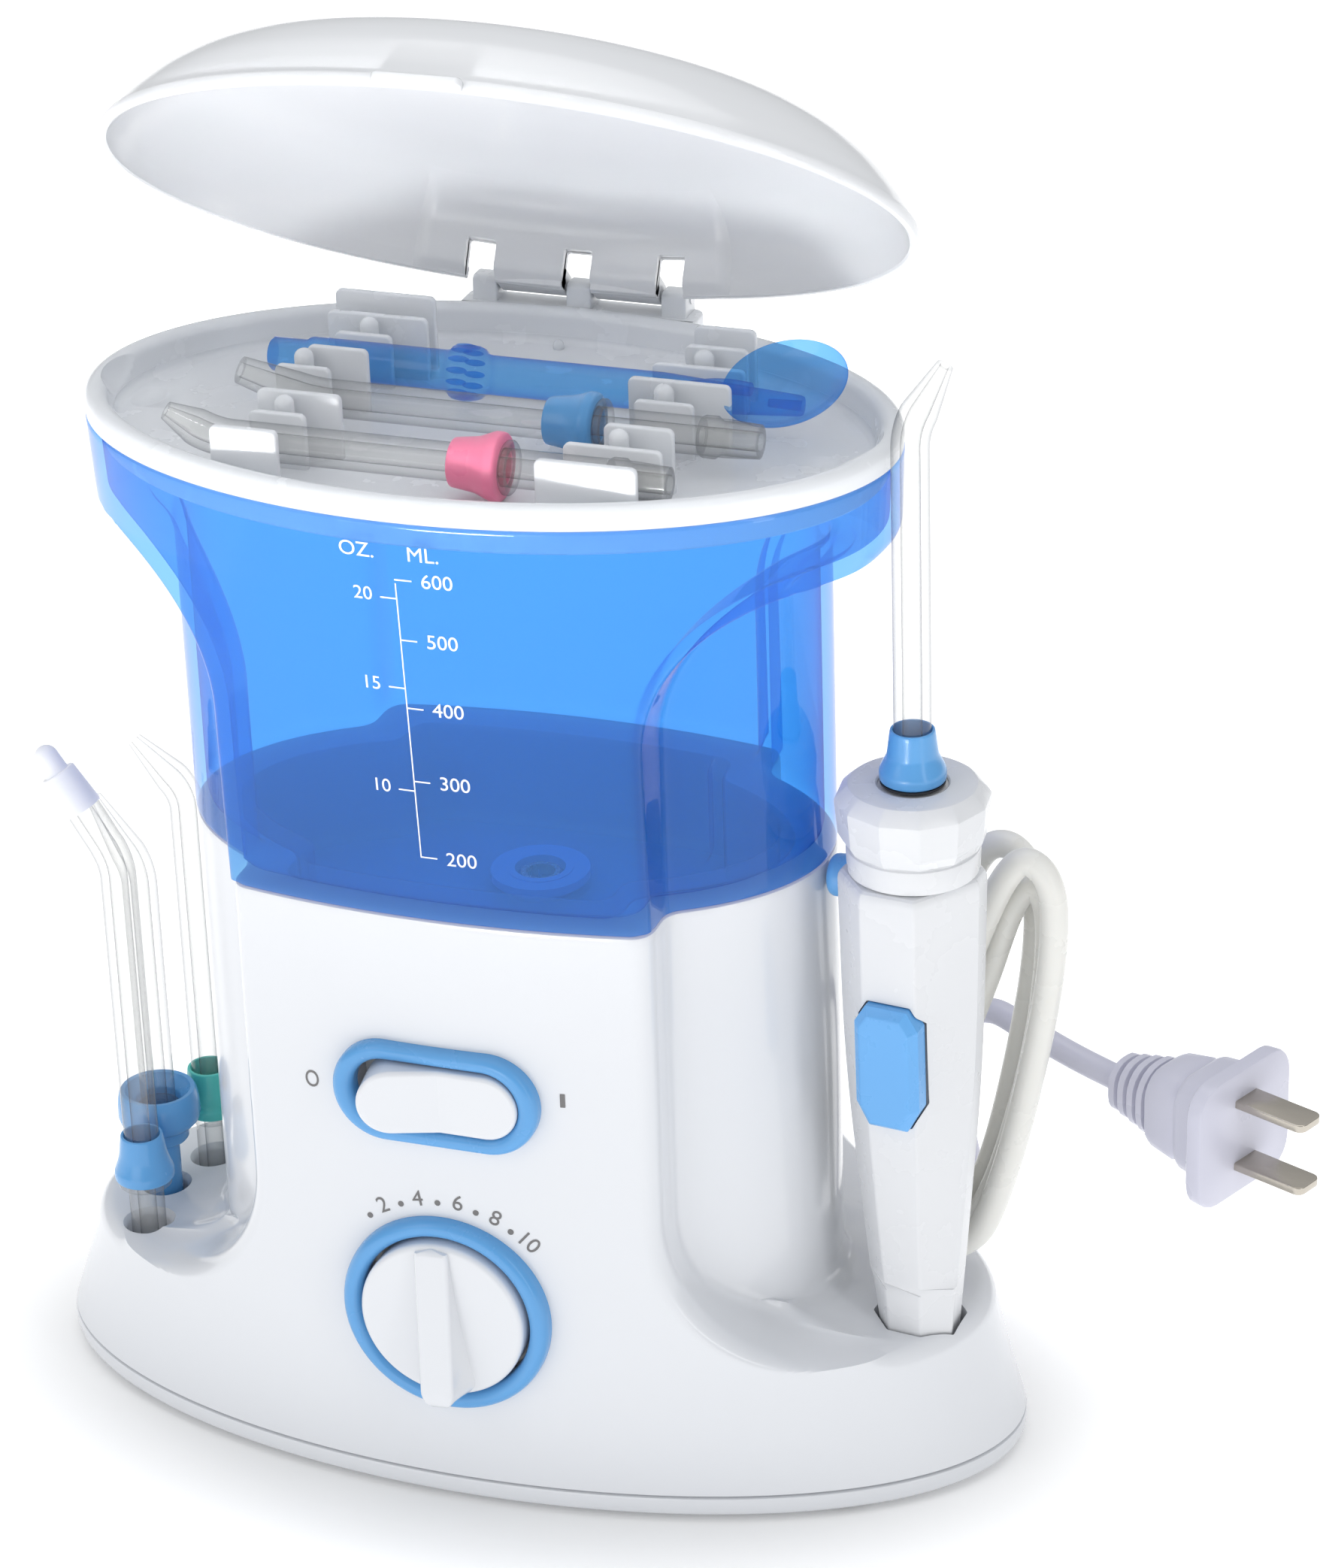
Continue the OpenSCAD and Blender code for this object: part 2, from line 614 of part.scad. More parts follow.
module tray_clips() {
  clip(-36, -24, -34, 200.8);
  clip(21, 38.5, -34, 200.8);
  for (r = [[-33, -23, -24.4, -34, -19], [22.5, 39.5, -24.4, 27.5, 39.5]]) {
    clip(r[0], r[1], r[2], 200);
    clip(r[3], r[4], r[2] + 6, 201.5);
    bump((r[0] + r[1]) / 2, r[2] + 3, 200.4);
  }
  for (r = [[-37, -27, -3.8, -33.5, -22.5], [27.5, 38, -3.8, 24.5, 42.5]]) {
    clip(r[0], r[1], r[2], 200);
    clip(r[3], r[4], r[2] + 6, 201.5);
    bump((r[0] + r[1]) / 2 - 1, r[2] + 3, 200.4);
  }
  for (r = [[-33, -22.5, 13, -36.5, -18], [25, 41.5, 13, 29, 40.2]]) {
    clip(r[0], r[1], r[2], 200);
    clip(r[3], r[4], r[2] + 5.6, 201.5);
    bump((r[0] + r[1]) / 2, r[2] + 2.8, 200.4);
  }
  clip(-37, -18.5, 23.8, 203.5);
  clip(29, 40, 23.8, 203);
}

module tip_tray()
  color(white) difference() {
    union() {
      difference() {
        union() {
          oval(rim_rx, rim_ry, tray_top - tray_z, 0, tray_z);
          oval(rim_rx - 3.2, rim_ry - 3.2, 6, 0, 186.5);
        }
        oval(67.6, 41.3, 10, 0, tray_floor);
        oval(67, 40.7, 10, 0, tray_floor - 2 - 10);
        for (s = [-1, 1]) translate([s * 60.5, -2, tray_floor - 0.6]) cylinder(r = 7.8, h = 10, $fn = 64);
      }
      tray_clips();
      translate([-22, 43.5, tray_z]) cube([44, 7, 3.6]);
      for (x = post_at) translate([x - post_w / 2, 44.5, tray_z]) cube([post_w, 5.8, 8.1]);
    }
    rod_x(pin_r + gap, -30, 30, hinge_y, hinge_z, 32);
  }

module hinge_pin()
  color(steel) rod_x(pin_r, -20.2, 20.2, hinge_y, hinge_z, 32);

module lid_dome(inset, z)
  hull() {
    oval_slice(rim_rx - inset, rim_ry - inset, 0, z);
    oval_slice(67.8 - inset, 44.6 - inset, 0, z + 6);
    oval_slice(62.5 - inset, 42.6 - inset, 0, z + 12);
    oval_slice(55.5 - inset, 38.6 - inset, 0, z + 16 - inset / 3);
    oval_slice(46 - inset, 31.5 - inset, 0, z + 18.5 - inset);
  }

module lid_closed()
  difference() {
    union() {
      difference() {
        lid_dome(0, lid_z);
        translate([0, 0, -slice]) lid_dome(1.7, lid_z);
      }
      translate([-8, -rim_ry - 2, lid_z]) cube([16, 4, 1.8]);
      for (s = [-1, 1]) translate([s * 8.85 - 6.2, 43.2, lid_z]) cube([12.4, hinge_y - 43.2, 3.8]);
      for (s = [-1, 1]) rod_x(1.9, s * 8.85 - 6.2, s * 8.85 + 6.2, hinge_y, hinge_z, 32);
    }
    rod_x(pin_r + gap, -30, 30, hinge_y, hinge_z, 32);
    for (x = post_at) translate([x - post_w / 2 - 0.35, 41.5, lid_z - 1]) cube([post_w + 0.7, 12, 8]);
  }

module lid()
  color(white) translate([0, hinge_y, hinge_z]) rotate([-lid_open, 0, 0])
    translate([0, -hinge_y, -hinge_z]) lid_closed();

// Ring that marks a tip, widest next to the flange; z runs from the flange up
module cone_ring(h, r0, r1, bore)
  rotate_extrude($fn = 64)
    polygon([[bore, 0], [r0 - 0.4, 0], [r0, 0.6], [r0, h * 0.22], [r1 + 0.3, h * 0.55], [r1, h], [bore, h]]);

// Straight tube with a bent, tapered end; z runs from the foot up
module tip_tube(flange_z, flange_r, straight, bend, end_len, end_r)
  difference() {
    union() {
      cylinder(r = tube_r, h = straight, $fn = 48);
      translate([0, 0, flange_z]) cylinder(r = flange_r, h = 1.2, $fn = 48);
      translate([0, 0, straight]) sphere(r = tube_r, $fn = 48);
      translate([0, 0, straight]) rotate([0, bend, 0])
        cylinder(r1 = tube_r, r2 = end_r, h = end_len, $fn = 48);
    }
    translate([0, 0, -1]) cylinder(r = tube_bore, h = straight + 1, $fn = 32);
    translate([0, 0, straight]) sphere(r = tube_bore, $fn = 32);
    translate([0, 0, straight]) rotate([0, bend, 0])
      cylinder(r1 = tube_bore, r2 = end_r * 0.45, h = end_len + 1, $fn = 32);
  }

module at_tip(p) translate([p[0], p[1], tip_foot_z]) children();

module front_tip_tube()
  color(clear) at_tip(front_tip) tip_tube(23.1, 4.9, front_bend_z, front_bend, 11, 2.9);
module front_tip_ring()
  color(sky) at_tip(front_tip) translate([0, 0, 24.35]) cone_ring(9.2, 5.5, 4.1, tube_r + gap);
module front_tip_brush()
  color(white) at_tip(front_tip) translate([0, 0, front_bend_z]) rotate([0, front_bend, 0])
  translate([0, 0, 11.05]) union() {
    cylinder(r = 3.3, h = 8, $fn = 48);
    translate([0, 0, 7]) cylinder(r = 2.1, h = 4, $fn = 48);
    translate([0, 0, 11]) sphere(r = 2.1, $fn = 48);
  }
module middle_tip_tube()
  color(clear) at_tip(middle_tip) difference() {
    tip_tube(middle_base_h + 4, 4, middle_bend_z, -30, 15, 1.5);
    translate([0, 0, -1]) cylinder(r = 6, h = middle_base_h + 1 + gap, $fn = 48);
  }
module middle_tip_ring()
  color(sky) at_tip(middle_tip) difference() {
    union() {
      cylinder(r = tube_r, h = 26, $fn = 48);
      translate([0, 0, 25]) cylinder(r = 5.2, h = 10, $fn = 48);
      translate([0, 0, 28]) cylinder(r1 = 6.8, r2 = 7.7, h = 1.5, $fn = 64);
      translate([0, 0, 29.5]) cylinder(r1 = 7.7, r2 = 7.2, h = 6, $fn = 64);
    }
    translate([0, 0, -1]) cylinder(r = tube_bore, h = 40, $fn = 32);
    translate([0, 0, middle_base_h]) cylinder(r = 4 + gap, h = 10, $fn = 48);
  }
module rear_tip_tube()
  color(clear) at_tip(rear_tip) tip_tube(23.6, 4.6, rear_bend_z, -46, 12.5, 1.3);
module rear_tip_ring()
  color(teal) at_tip(rear_tip) translate([0, 0, 24.85]) cone_ring(9.6, 5, 4, tube_r + gap);

// Tips lying in the tray point to the left, so their tubes run along -X
module in_tray(x, y) translate([x, y, tray_tip_z]) rotate([0, -90, 0]) children();

module tray_tube(bend, end_len, end_r)
  difference() {
    union() {
      cylinder(r = 2.9, h = 8, $fn = 48);
      translate([0, 0, 7]) cylinder(r = 3.6, h = 3, $fn = 48);
      translate([0, 0, 9]) cylinder(r = tube_r, h = 71, $fn = 48);
      translate([0, 0, 27]) cylinder(r = 4.6, h = 1.4, $fn = 48);
      translate([0, 0, 80]) sphere(r = tube_r, $fn = 48);
      translate([0, 0, 80]) rotate([0, bend, 0]) cylinder(r1 = tube_r, r2 = end_r, h = end_len, $fn = 48);
    }
    translate([0, 0, -1]) cylinder(r = tube_bore, h = 81, $fn = 32);
    translate([0, 0, 80]) sphere(r = tube_bore, $fn = 32);
    translate([0, 0, 80]) rotate([0, bend, 0])
      cylinder(r1 = tube_bore, r2 = end_r * 0.5, h = end_len + 1, $fn = 32);
  }

module blue_tray_tube()
  color(clear) in_tray(51, blue_y) tray_tube(15, 13, 2.4);
module blue_tray_ring()
  color(sky) in_tray(51, blue_y) translate([0, 0, 28.45]) cone_ring(8.6, 5.5, 4.1, tube_r + gap);
module pink_tray_tube()
  color(clear) in_tray(pink_x, pink_y) tray_tube(24, 9, 1.6);
module pink_tray_ring()
  color(pink) in_tray(pink_x, pink_y) translate([0, 0, 28.45]) cone_ring(8.8, 5.8, 4.1, tube_r + gap);

module scraper_tip()
  color(azure) translate([0, scraper_y, tray_tip_z]) difference() {
    union() {
      rod_x(3, -43, -36, 0, 0);
      rod_x(3.6, -37, -10, 0, 0);
      rod_x(4.7, -10, -4, 0, 0);
      rod_x(3.4, -4.5, 30, 0, 0);
      translate([29, 0, 0]) rotate([0, 90, 0]) cylinder(r1 = 3.4, r2 = 1.7, h = 24, $fn = 48);
      translate([52.2, 4, 2.4]) rotate([0, -8, 8]) scale([10, 8.5, 1]) cylinder(r = 1, h = 1.6, $fn = 48);
      translate([38, 0, -0.2]) rotate([0, -8, 0]) cube([8, 3, 2]);
    }
    rod_x(1.4, -50, 60, 0, 0, 24);
  }

// Wand: a tapering octagon, cut by the seam into two shells
module wand_volume(inset)
  for (i = [0 : len(wand_sections) - 2]) hull() for (s = [wand_sections[i], wand_sections[i + 1]])
    translate([wand_x, wand_y + s[2], s[0] - (i == 0 && s[0] == wand_z ? slice : 0)])
      rotate([0, 0, wand_turn])
      cylinder(r = (s[1] * wand_w / 2 - inset) / cos(22.5), h = slice, $fn = 8);

module wand_cavity()
  translate([wand_x, wand_y + 0.6, 34]) rotate([0, 0, wand_turn])
    cylinder(r1 = 5.4, r2 = 10.8, h = 84, $fn = 8);

module wand_front_shell()
  color(white) difference() {
    wand_volume(0);
    wand_cavity();
    translate([-big / 2, seam_y, 0]) cube([big, big, big]);
    translate([wand_x, wand_y, 110]) cylinder(r = 5.05, h = 20, $fn = 48);
    translate([wand_x, wand_y, 87]) rotate([0, 0, -6.5]) along_y(-30, 0) pause_shape(0.25);
    translate([wand_x, wand_y + 4.5, 113.5]) rotate([0, -90, 0]) cylinder(r = 3.5, h = 30, $fn = 48);
  }

module wand_back_shell()
  color(white) difference() {
    intersection() {
      wand_volume(0.5);
      translate([-big / 2, seam_y + gap, 0]) cube([big, 11, big]);
    }
    wand_cavity();
    translate([wand_x, wand_y, 110]) cylinder(r = 5.05, h = 20, $fn = 48);
    translate([wand_x, wand_y + 4.5, 113.5]) rotate([0, -90, 0]) cylinder(r = 3.5, h = 30, $fn = 48);
    translate([wand_x, 9, 40]) rotate([90, 0, 0]) cylinder(r = 2.6, h = 7, $fn = 32);
  }

module pause_shape(grow)
  polygon([for (p = [[-3.6, -12], [3.6, -12], [5.9, -7.5], [5.9, 8.5], [3.8, 12], [-3.8, 12],
    [-5.9, 8.5], [-5.9, -7.5]]) [p[0] + sign(p[0]) * grow, p[1] + sign(p[1]) * grow]]);

module pause_button()
  color(sky) translate([wand_x, wand_y, 87]) rotate([0, 0, -6.5]) union() {
    along_y(-14.1, -9.5) pause_shape(0);
    along_y(-9.6, -4.2) circle(r = 2, $fn = 32);
  }

module pause_valve()
  color(dark) translate([wand_x, wand_y, 87]) rotate([0, 0, -6.5]) difference() {
    union() {
      along_y(-6.2, 1.5) circle(r = 4.5, $fn = 48);
      translate([0, -1.8, -42]) cylinder(r = 2.2, h = 64, $fn = 32);
    }
    along_y(-7, -1.4) circle(r = 2.05, $fn = 32);
  }

module release_button()
  color(sky) translate([wand_x, wand_y + 4.5, 113.5]) rotate([0, -90, 0]) difference() {
    cylinder(r = 3.4, h = 14.6, $fn = 48);
    translate([0, 0, -1]) cylinder(r = 9, h = 8.5, $fn = 24);
  }

module rotator_collar()
  color(white) translate([wand_x, wand_y, 0]) difference() {
    union() {
      translate([0, 0, 110.5]) cylinder(r = 5, h = 10, $fn = 48);
      translate([0, 0, 119.6]) cylinder(r = 11.4, h = 5.6, $fn = 96);
      translate([0, 0, 125]) cylinder(r1 = 11.4, r2 = 13.3, h = 2.6, $fn = 12);
      translate([0, 0, 127.6]) cylinder(r = 13.4, h = 5.6, $fn = 12);
      translate([0, 0, 133.2]) cylinder(r1 = 13.4, r2 = 10.8, h = 2.6, $fn = 12);
    }
    translate([0, 0, 109]) cylinder(r = tube_r + gap, h = 30, $fn = 48);
  }

module fitted_tip_tube()
  color(clear) translate([wand_x, wand_y, 112]) tip_tube(23.9, 4.6, 88.2, 27, 12.8, 1.4);

module fitted_tip_ring()
  color(sky) translate([wand_x, wand_y, 137.15]) cone_ring(8.6, 5.7, 4.1, tube_r + gap);

base_plate();
rubber_feet();
base_screws();
body_shell();
switch_ring();
dial_ring();
switch_module();
circuit_board();
motor();
gear_chassis();
pump_housing();
pump_head();
pressure_valve();
inlet_pipe();
outlet_pipe();
tank_seat_seal();
hose_nozzle();
power_cord();
cord_bushing();
plug_body();
plug_blades();
water_hose();
switch_rocker();
pressure_dial();
dial_spindle();
motor_pinion();
crank_gear();
connecting_rod();
pump_piston();
inlet_ball();
outlet_ball();
tank();
tank_valve_body();
tank_valve_spring();
tank_valve_plunger();
tip_tray();
hinge_pin();
lid();
scraper_tip();
blue_tray_tube();
blue_tray_ring();
pink_tray_tube();
pink_tray_ring();
front_tip_tube();
front_tip_ring();
front_tip_brush();
middle_tip_tube();
middle_tip_ring();
rear_tip_tube();
rear_tip_ring();
wand_front_shell();
wand_back_shell();
pause_valve();
pause_button();
release_button();
rotator_collar();
fitted_tip_tube();
fitted_tip_ring();
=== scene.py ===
"""Looks of the water flosser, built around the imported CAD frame. Metres in Blender, millimetres in the helpers."""

import math

import bmesh
import bpy
import numpy as np
from mathutils import Matrix, Vector


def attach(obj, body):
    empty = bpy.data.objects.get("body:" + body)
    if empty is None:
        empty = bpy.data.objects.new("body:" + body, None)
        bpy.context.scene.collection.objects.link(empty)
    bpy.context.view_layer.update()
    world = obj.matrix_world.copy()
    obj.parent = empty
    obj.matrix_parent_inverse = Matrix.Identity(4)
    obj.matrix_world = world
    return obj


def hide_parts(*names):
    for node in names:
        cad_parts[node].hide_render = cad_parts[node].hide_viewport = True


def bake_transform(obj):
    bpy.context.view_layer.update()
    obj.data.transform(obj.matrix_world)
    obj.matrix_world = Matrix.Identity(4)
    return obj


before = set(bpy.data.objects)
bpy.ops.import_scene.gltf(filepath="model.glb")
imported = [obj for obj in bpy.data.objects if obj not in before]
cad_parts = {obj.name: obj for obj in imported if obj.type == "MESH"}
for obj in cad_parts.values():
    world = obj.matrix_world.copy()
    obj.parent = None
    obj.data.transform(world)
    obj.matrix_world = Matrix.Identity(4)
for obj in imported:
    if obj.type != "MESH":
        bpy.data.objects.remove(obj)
MM = 0.001
PI = math.pi
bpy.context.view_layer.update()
scene = bpy.context.scene

# ---------------------------------------------------------------- materials


def new_mat(name):
    mat = bpy.data.materials.new(name)
    mat.use_nodes = True
    mat.node_tree.nodes.clear()
    return mat, mat.node_tree


def node(nt, kind, **values):
    """A node: a value named as an input is set or linked, with _ for a space, and any other is a setting."""
    n = nt.nodes.new(kind)
    for key, value in values.items():
        socket = n.inputs.get(key.replace("_", " "))
        if socket is None:
            setattr(n, key, value)
        elif isinstance(value, bpy.types.NodeSocket):
            nt.links.new(value, socket)
        else:
            socket.default_value = value
    return n


def noise(nt, scale, detail=3.0, stretch=(1, 1, 1)):
    place_on = node(nt, "ShaderNodeTexCoord").outputs["Object"]
    spot = node(nt, "ShaderNodeMapping", Vector=place_on, Scale=stretch).outputs["Vector"]
    return node(nt, "ShaderNodeTexNoise", Vector=spot, Scale=scale, Detail=detail).outputs["Fac"]


def map_range(nt, value, reads, gives, **values):
    """Maps value from the range it reads to the range it gives."""
    return node(nt, "ShaderNodeMapRange", Value=value, From_Min=reads[0], From_Max=reads[1], To_Min=gives[0],
                To_Max=gives[1], **values).outputs["Result"]


def spread(nt, fac, low, high):
    """Spreads the middle of a noise over low to high."""
    return map_range(nt, fac, (0.3, 0.7), (low, high))


def two_tone(nt, fac, a, b):
    """A colour from a to b; b may be a socket."""
    b = b if isinstance(b, bpy.types.NodeSocket) else (*b, 1)
    return node(nt, "ShaderNodeMix", data_type="RGBA", Factor=fac, A=(*a, 1), B=b).outputs["Result"]


def maths(nt, operation, a, b):
    n = node(nt, "ShaderNodeMath", operation=operation)
    for socket, value in zip(n.inputs, (a, b)):
        if isinstance(value, float):
            socket.default_value = value
        else:
            nt.links.new(value, socket)
    return n.outputs[0]


def mix_shaders(nt, share, a, b):
    n = node(nt, "ShaderNodeMixShader", Fac=share)
    nt.links.new(a, n.inputs[1])
    nt.links.new(b, n.inputs[2])
    return n.outputs["Shader"]


def plastic(name, color, rough=0.25, tint=0.03, grain=0.02, grain_scale=2500, coat=0.0, sss=0.0, metal=0.0,
            stretch=(1, 1, 1)):
    """A moulded or metal surface: faint colour drift, uneven gloss and fine grain, all from noise."""
    mat, nt = new_mat(name)
    drift = two_tone(nt, noise(nt, 28, 2, stretch), tuple(c * (1 - tint) for c in color), color)
    gloss = spread(nt, noise(nt, 90, 4, stretch), rough * 0.8, rough * 1.25)
    bump = node(nt, "ShaderNodeBump", Strength=grain, Distance=0.0002, Height=noise(nt, grain_scale, 2, stretch))
    p = node(nt, "ShaderNodeBsdfPrincipled", Metallic=metal, IOR=1.46, Coat_Weight=coat, Coat_Roughness=0.06,
             Base_Color=drift, Roughness=gloss, Normal=bump.outputs["Normal"])
    if sss:
        p.inputs["Subsurface Weight"].default_value = sss
        p.inputs["Subsurface Radius"].default_value = (1.0, 0.9, 0.8)
        p.inputs["Subsurface Scale"].default_value = 0.0015
    node(nt, "ShaderNodeOutputMaterial", Surface=p.outputs["BSDF"])
    return mat


def tinted(name, face_on, edge_on, shade, body, rough=0.03, haze=0.05, steep=4.0):
    """Clear tinted plastic: each wall filters the light, more deeply where it is seen edge on; where edge_on is
    darker than that filtering, as for the clear tips, the darker edge is painted shade.
    """
    mat, nt = new_mat(name)
    edge = node(nt, "ShaderNodeLayerWeight", Blend=0.5).outputs["Facing"]
    seen = two_tone(nt, maths(nt, "POWER", edge, steep), face_on, edge_on)
    pick = two_tone(nt, node(nt, "ShaderNodeLightPath").outputs["Is Camera Ray"], shade, seen)
    clear = node(nt, "ShaderNodeBsdfTransparent", Color=pick)
    fog = node(nt, "ShaderNodeBsdfDiffuse", Color=two_tone(nt, noise(nt, 25, 2), tuple(c * 0.9 for c in body), body))
    misty = mix_shaders(nt, haze, clear.outputs["BSDF"], fog.outputs["BSDF"])
    sheen = node(nt, "ShaderNodeBsdfGlossy", Roughness=spread(nt, noise(nt, 60, 3), rough * 0.6, rough * 1.5))
    front = maths(nt, "SUBTRACT", 1.0, node(nt, "ShaderNodeNewGeometry").outputs["Backfacing"])
    outside = maths(nt, "MULTIPLY", node(nt, "ShaderNodeFresnel", IOR=1.45).outputs["Fac"], front)
    node(nt, "ShaderNodeOutputMaterial", Surface=mix_shaders(nt, outside, misty, sheen.outputs["BSDF"]))
    return mat


WHITE = plastic("white_abs_gloss", (0.72, 0.735, 0.765), 0.17, 0.01, 0.006, 3000, coat=0.25)
TRAY_WHITE = plastic("white_abs_tray", (0.76, 0.78, 0.81), 0.24, 0.01, 0.008, 2500, coat=0.1)
LID_WHITE = plastic("white_abs_lid", (0.72, 0.73, 0.75), 0.2, 0.01, 0.006, 2500, coat=0.2)
WAND_WHITE = plastic("white_abs_wand", (0.71, 0.72, 0.74), 0.27, 0.01, 0.01, 2200, coat=0.1)
SKY = plastic("sky_blue_plastic", (0.105, 0.345, 0.69), 0.24, 0.05, 0.04, 2200, coat=0.15)
BUTTON_SKY = plastic("sky_blue_button", (0.13, 0.40, 0.79), 0.3, 0.05, 0.06, 2000, coat=0.1)
PINK = plastic("pink_ring", (0.88, 0.235, 0.385), 0.3, 0.04, 0.05, 2200, sss=0.15)
TEAL = plastic("teal_ring", (0.10, 0.58, 0.52), 0.3, 0.05, 0.05, 2200, sss=0.1)
HOSE = plastic("hose_pvc", (0.78, 0.775, 0.74), 0.28, 0.04, 0.05, 1800, sss=0.2)
CORD = plastic("cord_pvc", (0.60, 0.60, 0.70), 0.32, 0.04, 0.06, 1800)
NICKEL = plastic("nickel_blade", (0.52, 0.48, 0.42), 0.2, 0.12, 0.06, 1500, metal=1.0, stretch=(1, 14, 14))
STEEL = plastic("plated_steel", (0.6, 0.6, 0.62), 0.25, 0.08, 0.06, 2500, metal=1.0, stretch=(10, 10, 1))
ZINC = plastic("zinc_can", (0.5, 0.51, 0.53), 0.35, 0.15, 0.08, 900, metal=1.0)
BRASS = plastic("machined_brass", (0.70, 0.48, 0.19), 0.25, 0.12, 0.05, 2500, metal=1.0, stretch=(1, 1, 12))
RUBBER = plastic("black_rubber", (0.02, 0.02, 0.022), 0.6, 0.2, 0.2, 1500)
NYLON = plastic("black_nylon", (0.035, 0.036, 0.04), 0.45, 0.2, 0.2, 1800)
ACETAL = plastic("natural_acetal", (0.72, 0.72, 0.69), 0.38, 0.05, 0.08, 1800, sss=0.2)
BOARD = plastic("circuit_board_mask", (0.015, 0.14, 0.05), 0.35, 0.3, 0.1, 600)
BRUSH = plastic("white_nylon", (0.84, 0.85, 0.90), 0.4, 0.02, 0.12, 2600, sss=0.3)
PRINT = plastic("grey_legend_ink", (0.17, 0.165, 0.165), 0.5, 0.05, 0.02, 4000)
SCALE_INK = plastic("white_scale_ink", (0.85, 0.88, 0.92), 0.5, 0.02, 0.02, 4000)
VALVE_BLUE = plastic("royal_blue_plastic", (0.10, 0.30, 0.78), 0.3, 0.1, 0.05, 2000)
AZURE = tinted("azure_tank_plastic", (0.49, 0.76, 0.95), (0.16, 0.30, 0.82), (0.89, 0.88, 0.963),
               (0.05, 0.35, 0.95), 0.03, 0.14)
# The clear tips' grey edge_on colour is painted shade: it darkens the tube edges in place of refraction of the
# surroundings.
CLEAR = tinted("clear_tip_plastic", (0.98, 0.98, 0.975), (0.42, 0.43, 0.45), (0.97, 0.97, 0.97),
               (0.8, 0.8, 0.79), 0.04, 0.05, 2.1)
SCOOP = tinted("azure_scraper_plastic", (0.46, 0.74, 0.97), (0.06, 0.22, 0.78), (0.9, 0.93, 0.97),
               (0.05, 0.35, 0.95), 0.04, 0.1, 2.2)

NODE_MATS = (
    (RUBBER, "rubber_feet tank_seat_seal tank_valve_plunger"),
    (STEEL, "base_screws connecting_rod inlet_ball outlet_ball tank_valve_spring hinge_pin"),
    (NYLON, "switch_module gear_chassis pressure_valve pause_valve"),
    (ACETAL, "pump_housing pump_head inlet_pipe outlet_pipe crank_gear pump_piston"),
    (BOARD, "circuit_board"), (ZINC, "motor"), (WHITE, "hose_nozzle"), (CORD, "cord_bushing"),
    (BRASS, "dial_spindle motor_pinion"), (VALVE_BLUE, "tank_valve_body"),
)
for mat, names in NODE_MATS:
    for name in names.split():
        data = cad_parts[name].data
        data.materials.clear()
        data.materials.append(mat)

# ---------------------------------------------------------------- mesh helpers


def dress(obj, mat, body, slot, replaces=(), sharp=38):
    """Smooths an object, gives it its material and hands it to its CAD body."""
    me = obj.data
    bm = bmesh.new()
    bm.from_mesh(me)
    bmesh.ops.recalc_face_normals(bm, faces=bm.faces)
    bm.to_mesh(me)
    bm.free()
    me.polygons.foreach_set("use_smooth", [True] * len(me.polygons))
    me.set_sharp_from_angle(angle=math.radians(sharp))
    me.materials.clear()
    me.materials.append(mat)
    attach(obj, body)
    if replaces:
        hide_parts(*replaces)
    return obj


class Shape:
    """Vertices and faces gathered from simple builders, in millimetres."""

    def __init__(self):
        self.v, self.f = [], []

    def add(self, verts, faces, m=None):
        verts = np.asarray(verts, float)
        if m is not None:
            m = np.array(m)
            verts = verts @ m[:3, :3].T + m[:3, 3]
        base = sum(len(x) for x in self.v)
        self.v.append(verts)
        self.f += [tuple(i + base for i in f) for f in faces]
        return self

    def mesh(self, name):
        me = bpy.data.meshes.new(name)
        me.from_pydata((np.vstack(self.v) * MM).tolist(), [], self.f)
        return me

    def object(self, name):
        obj = bpy.data.objects.new(name, self.mesh(name))
        scene.collection.objects.link(obj)
        return obj

    def piece(self, name, *args, **kw):
        return dress(self.object(name), *args, **kw)


def grid(rows, cols, close=True):
    """Faces of a grid of rows x cols vertices, wrapped round the columns."""
    f = []
    last = cols if close else cols - 1
    for i in range(rows - 1):
        a, b = i * cols, (i + 1) * cols
        for j in range(last):
            k = (j + 1) % cols
            f.append((a + j, a + k, b + k, b + j))
    return f


def capped(rings):
    """A closed skin over rings of equal length: n-gon caps at both ends."""
    rings = np.asarray(rings, float)
    n, c = rings.shape[:2]
    faces = grid(n, c)
    faces.append(tuple(reversed(range(c))))
    faces.append(tuple((n - 1) * c + j for j in range(c)))
    return rings.reshape(-1, 3), faces


def torus_skin(rings):
    """A closed skin whose last ring joins its first."""
    rings = np.asarray(rings, float)
    n, c = rings.shape[:2]
    faces = grid(n, c)
    a = (n - 1) * c
    faces += [(a + j, a + (j + 1) % c, (j + 1) % c, j) for j in range(c)]
    return rings.reshape(-1, 3), faces


def lathe(profile, n=72):
    """Profile of (r, z) points turned about Z, one ring per point; the caller closes the skin."""
    a = np.arange(n) * 2 * PI / n
    rings = [np.stack([r * np.cos(a), r * np.sin(a), np.full(n, z)], 1) for r, z in profile]
    return rings


def place(at, turn=(0, 0, 0)):
    m = Matrix.Translation(Vector(at))
    for axis, deg in zip("XYZ", turn):
        if deg:
            m = m @ Matrix.Rotation(math.radians(deg), 4, axis)
    return m


def frames_along(points):
    """Parallel-transported cross directions along a polyline."""
    p = np.asarray(points, float)
    t = np.gradient(p, axis=0)
    t /= np.linalg.norm(t, axis=1)[:, None]
    ref = np.array([0, 0, 1.0]) if abs(t[0][2]) < 0.9 else np.array([1.0, 0, 0])
    u = np.cross(t[0], ref)
    u /= np.linalg.norm(u)
    us = []
    for k in t:
        u = u - (u @ k) * k
        u /= np.linalg.norm(u)
        us.append(u)
    us = np.array(us)
    return p, us, np.cross(t, us)


def sweep(points, radii, n=32):
    p, u, w = frames_along(points)
    a = np.arange(n) * 2 * PI / n
    radii = np.broadcast_to(radii, (len(p),))
    return [p[i] + radii[i] * (np.cos(a)[:, None] * u[i] + np.sin(a)[:, None] * w[i]) for i in range(len(p))]


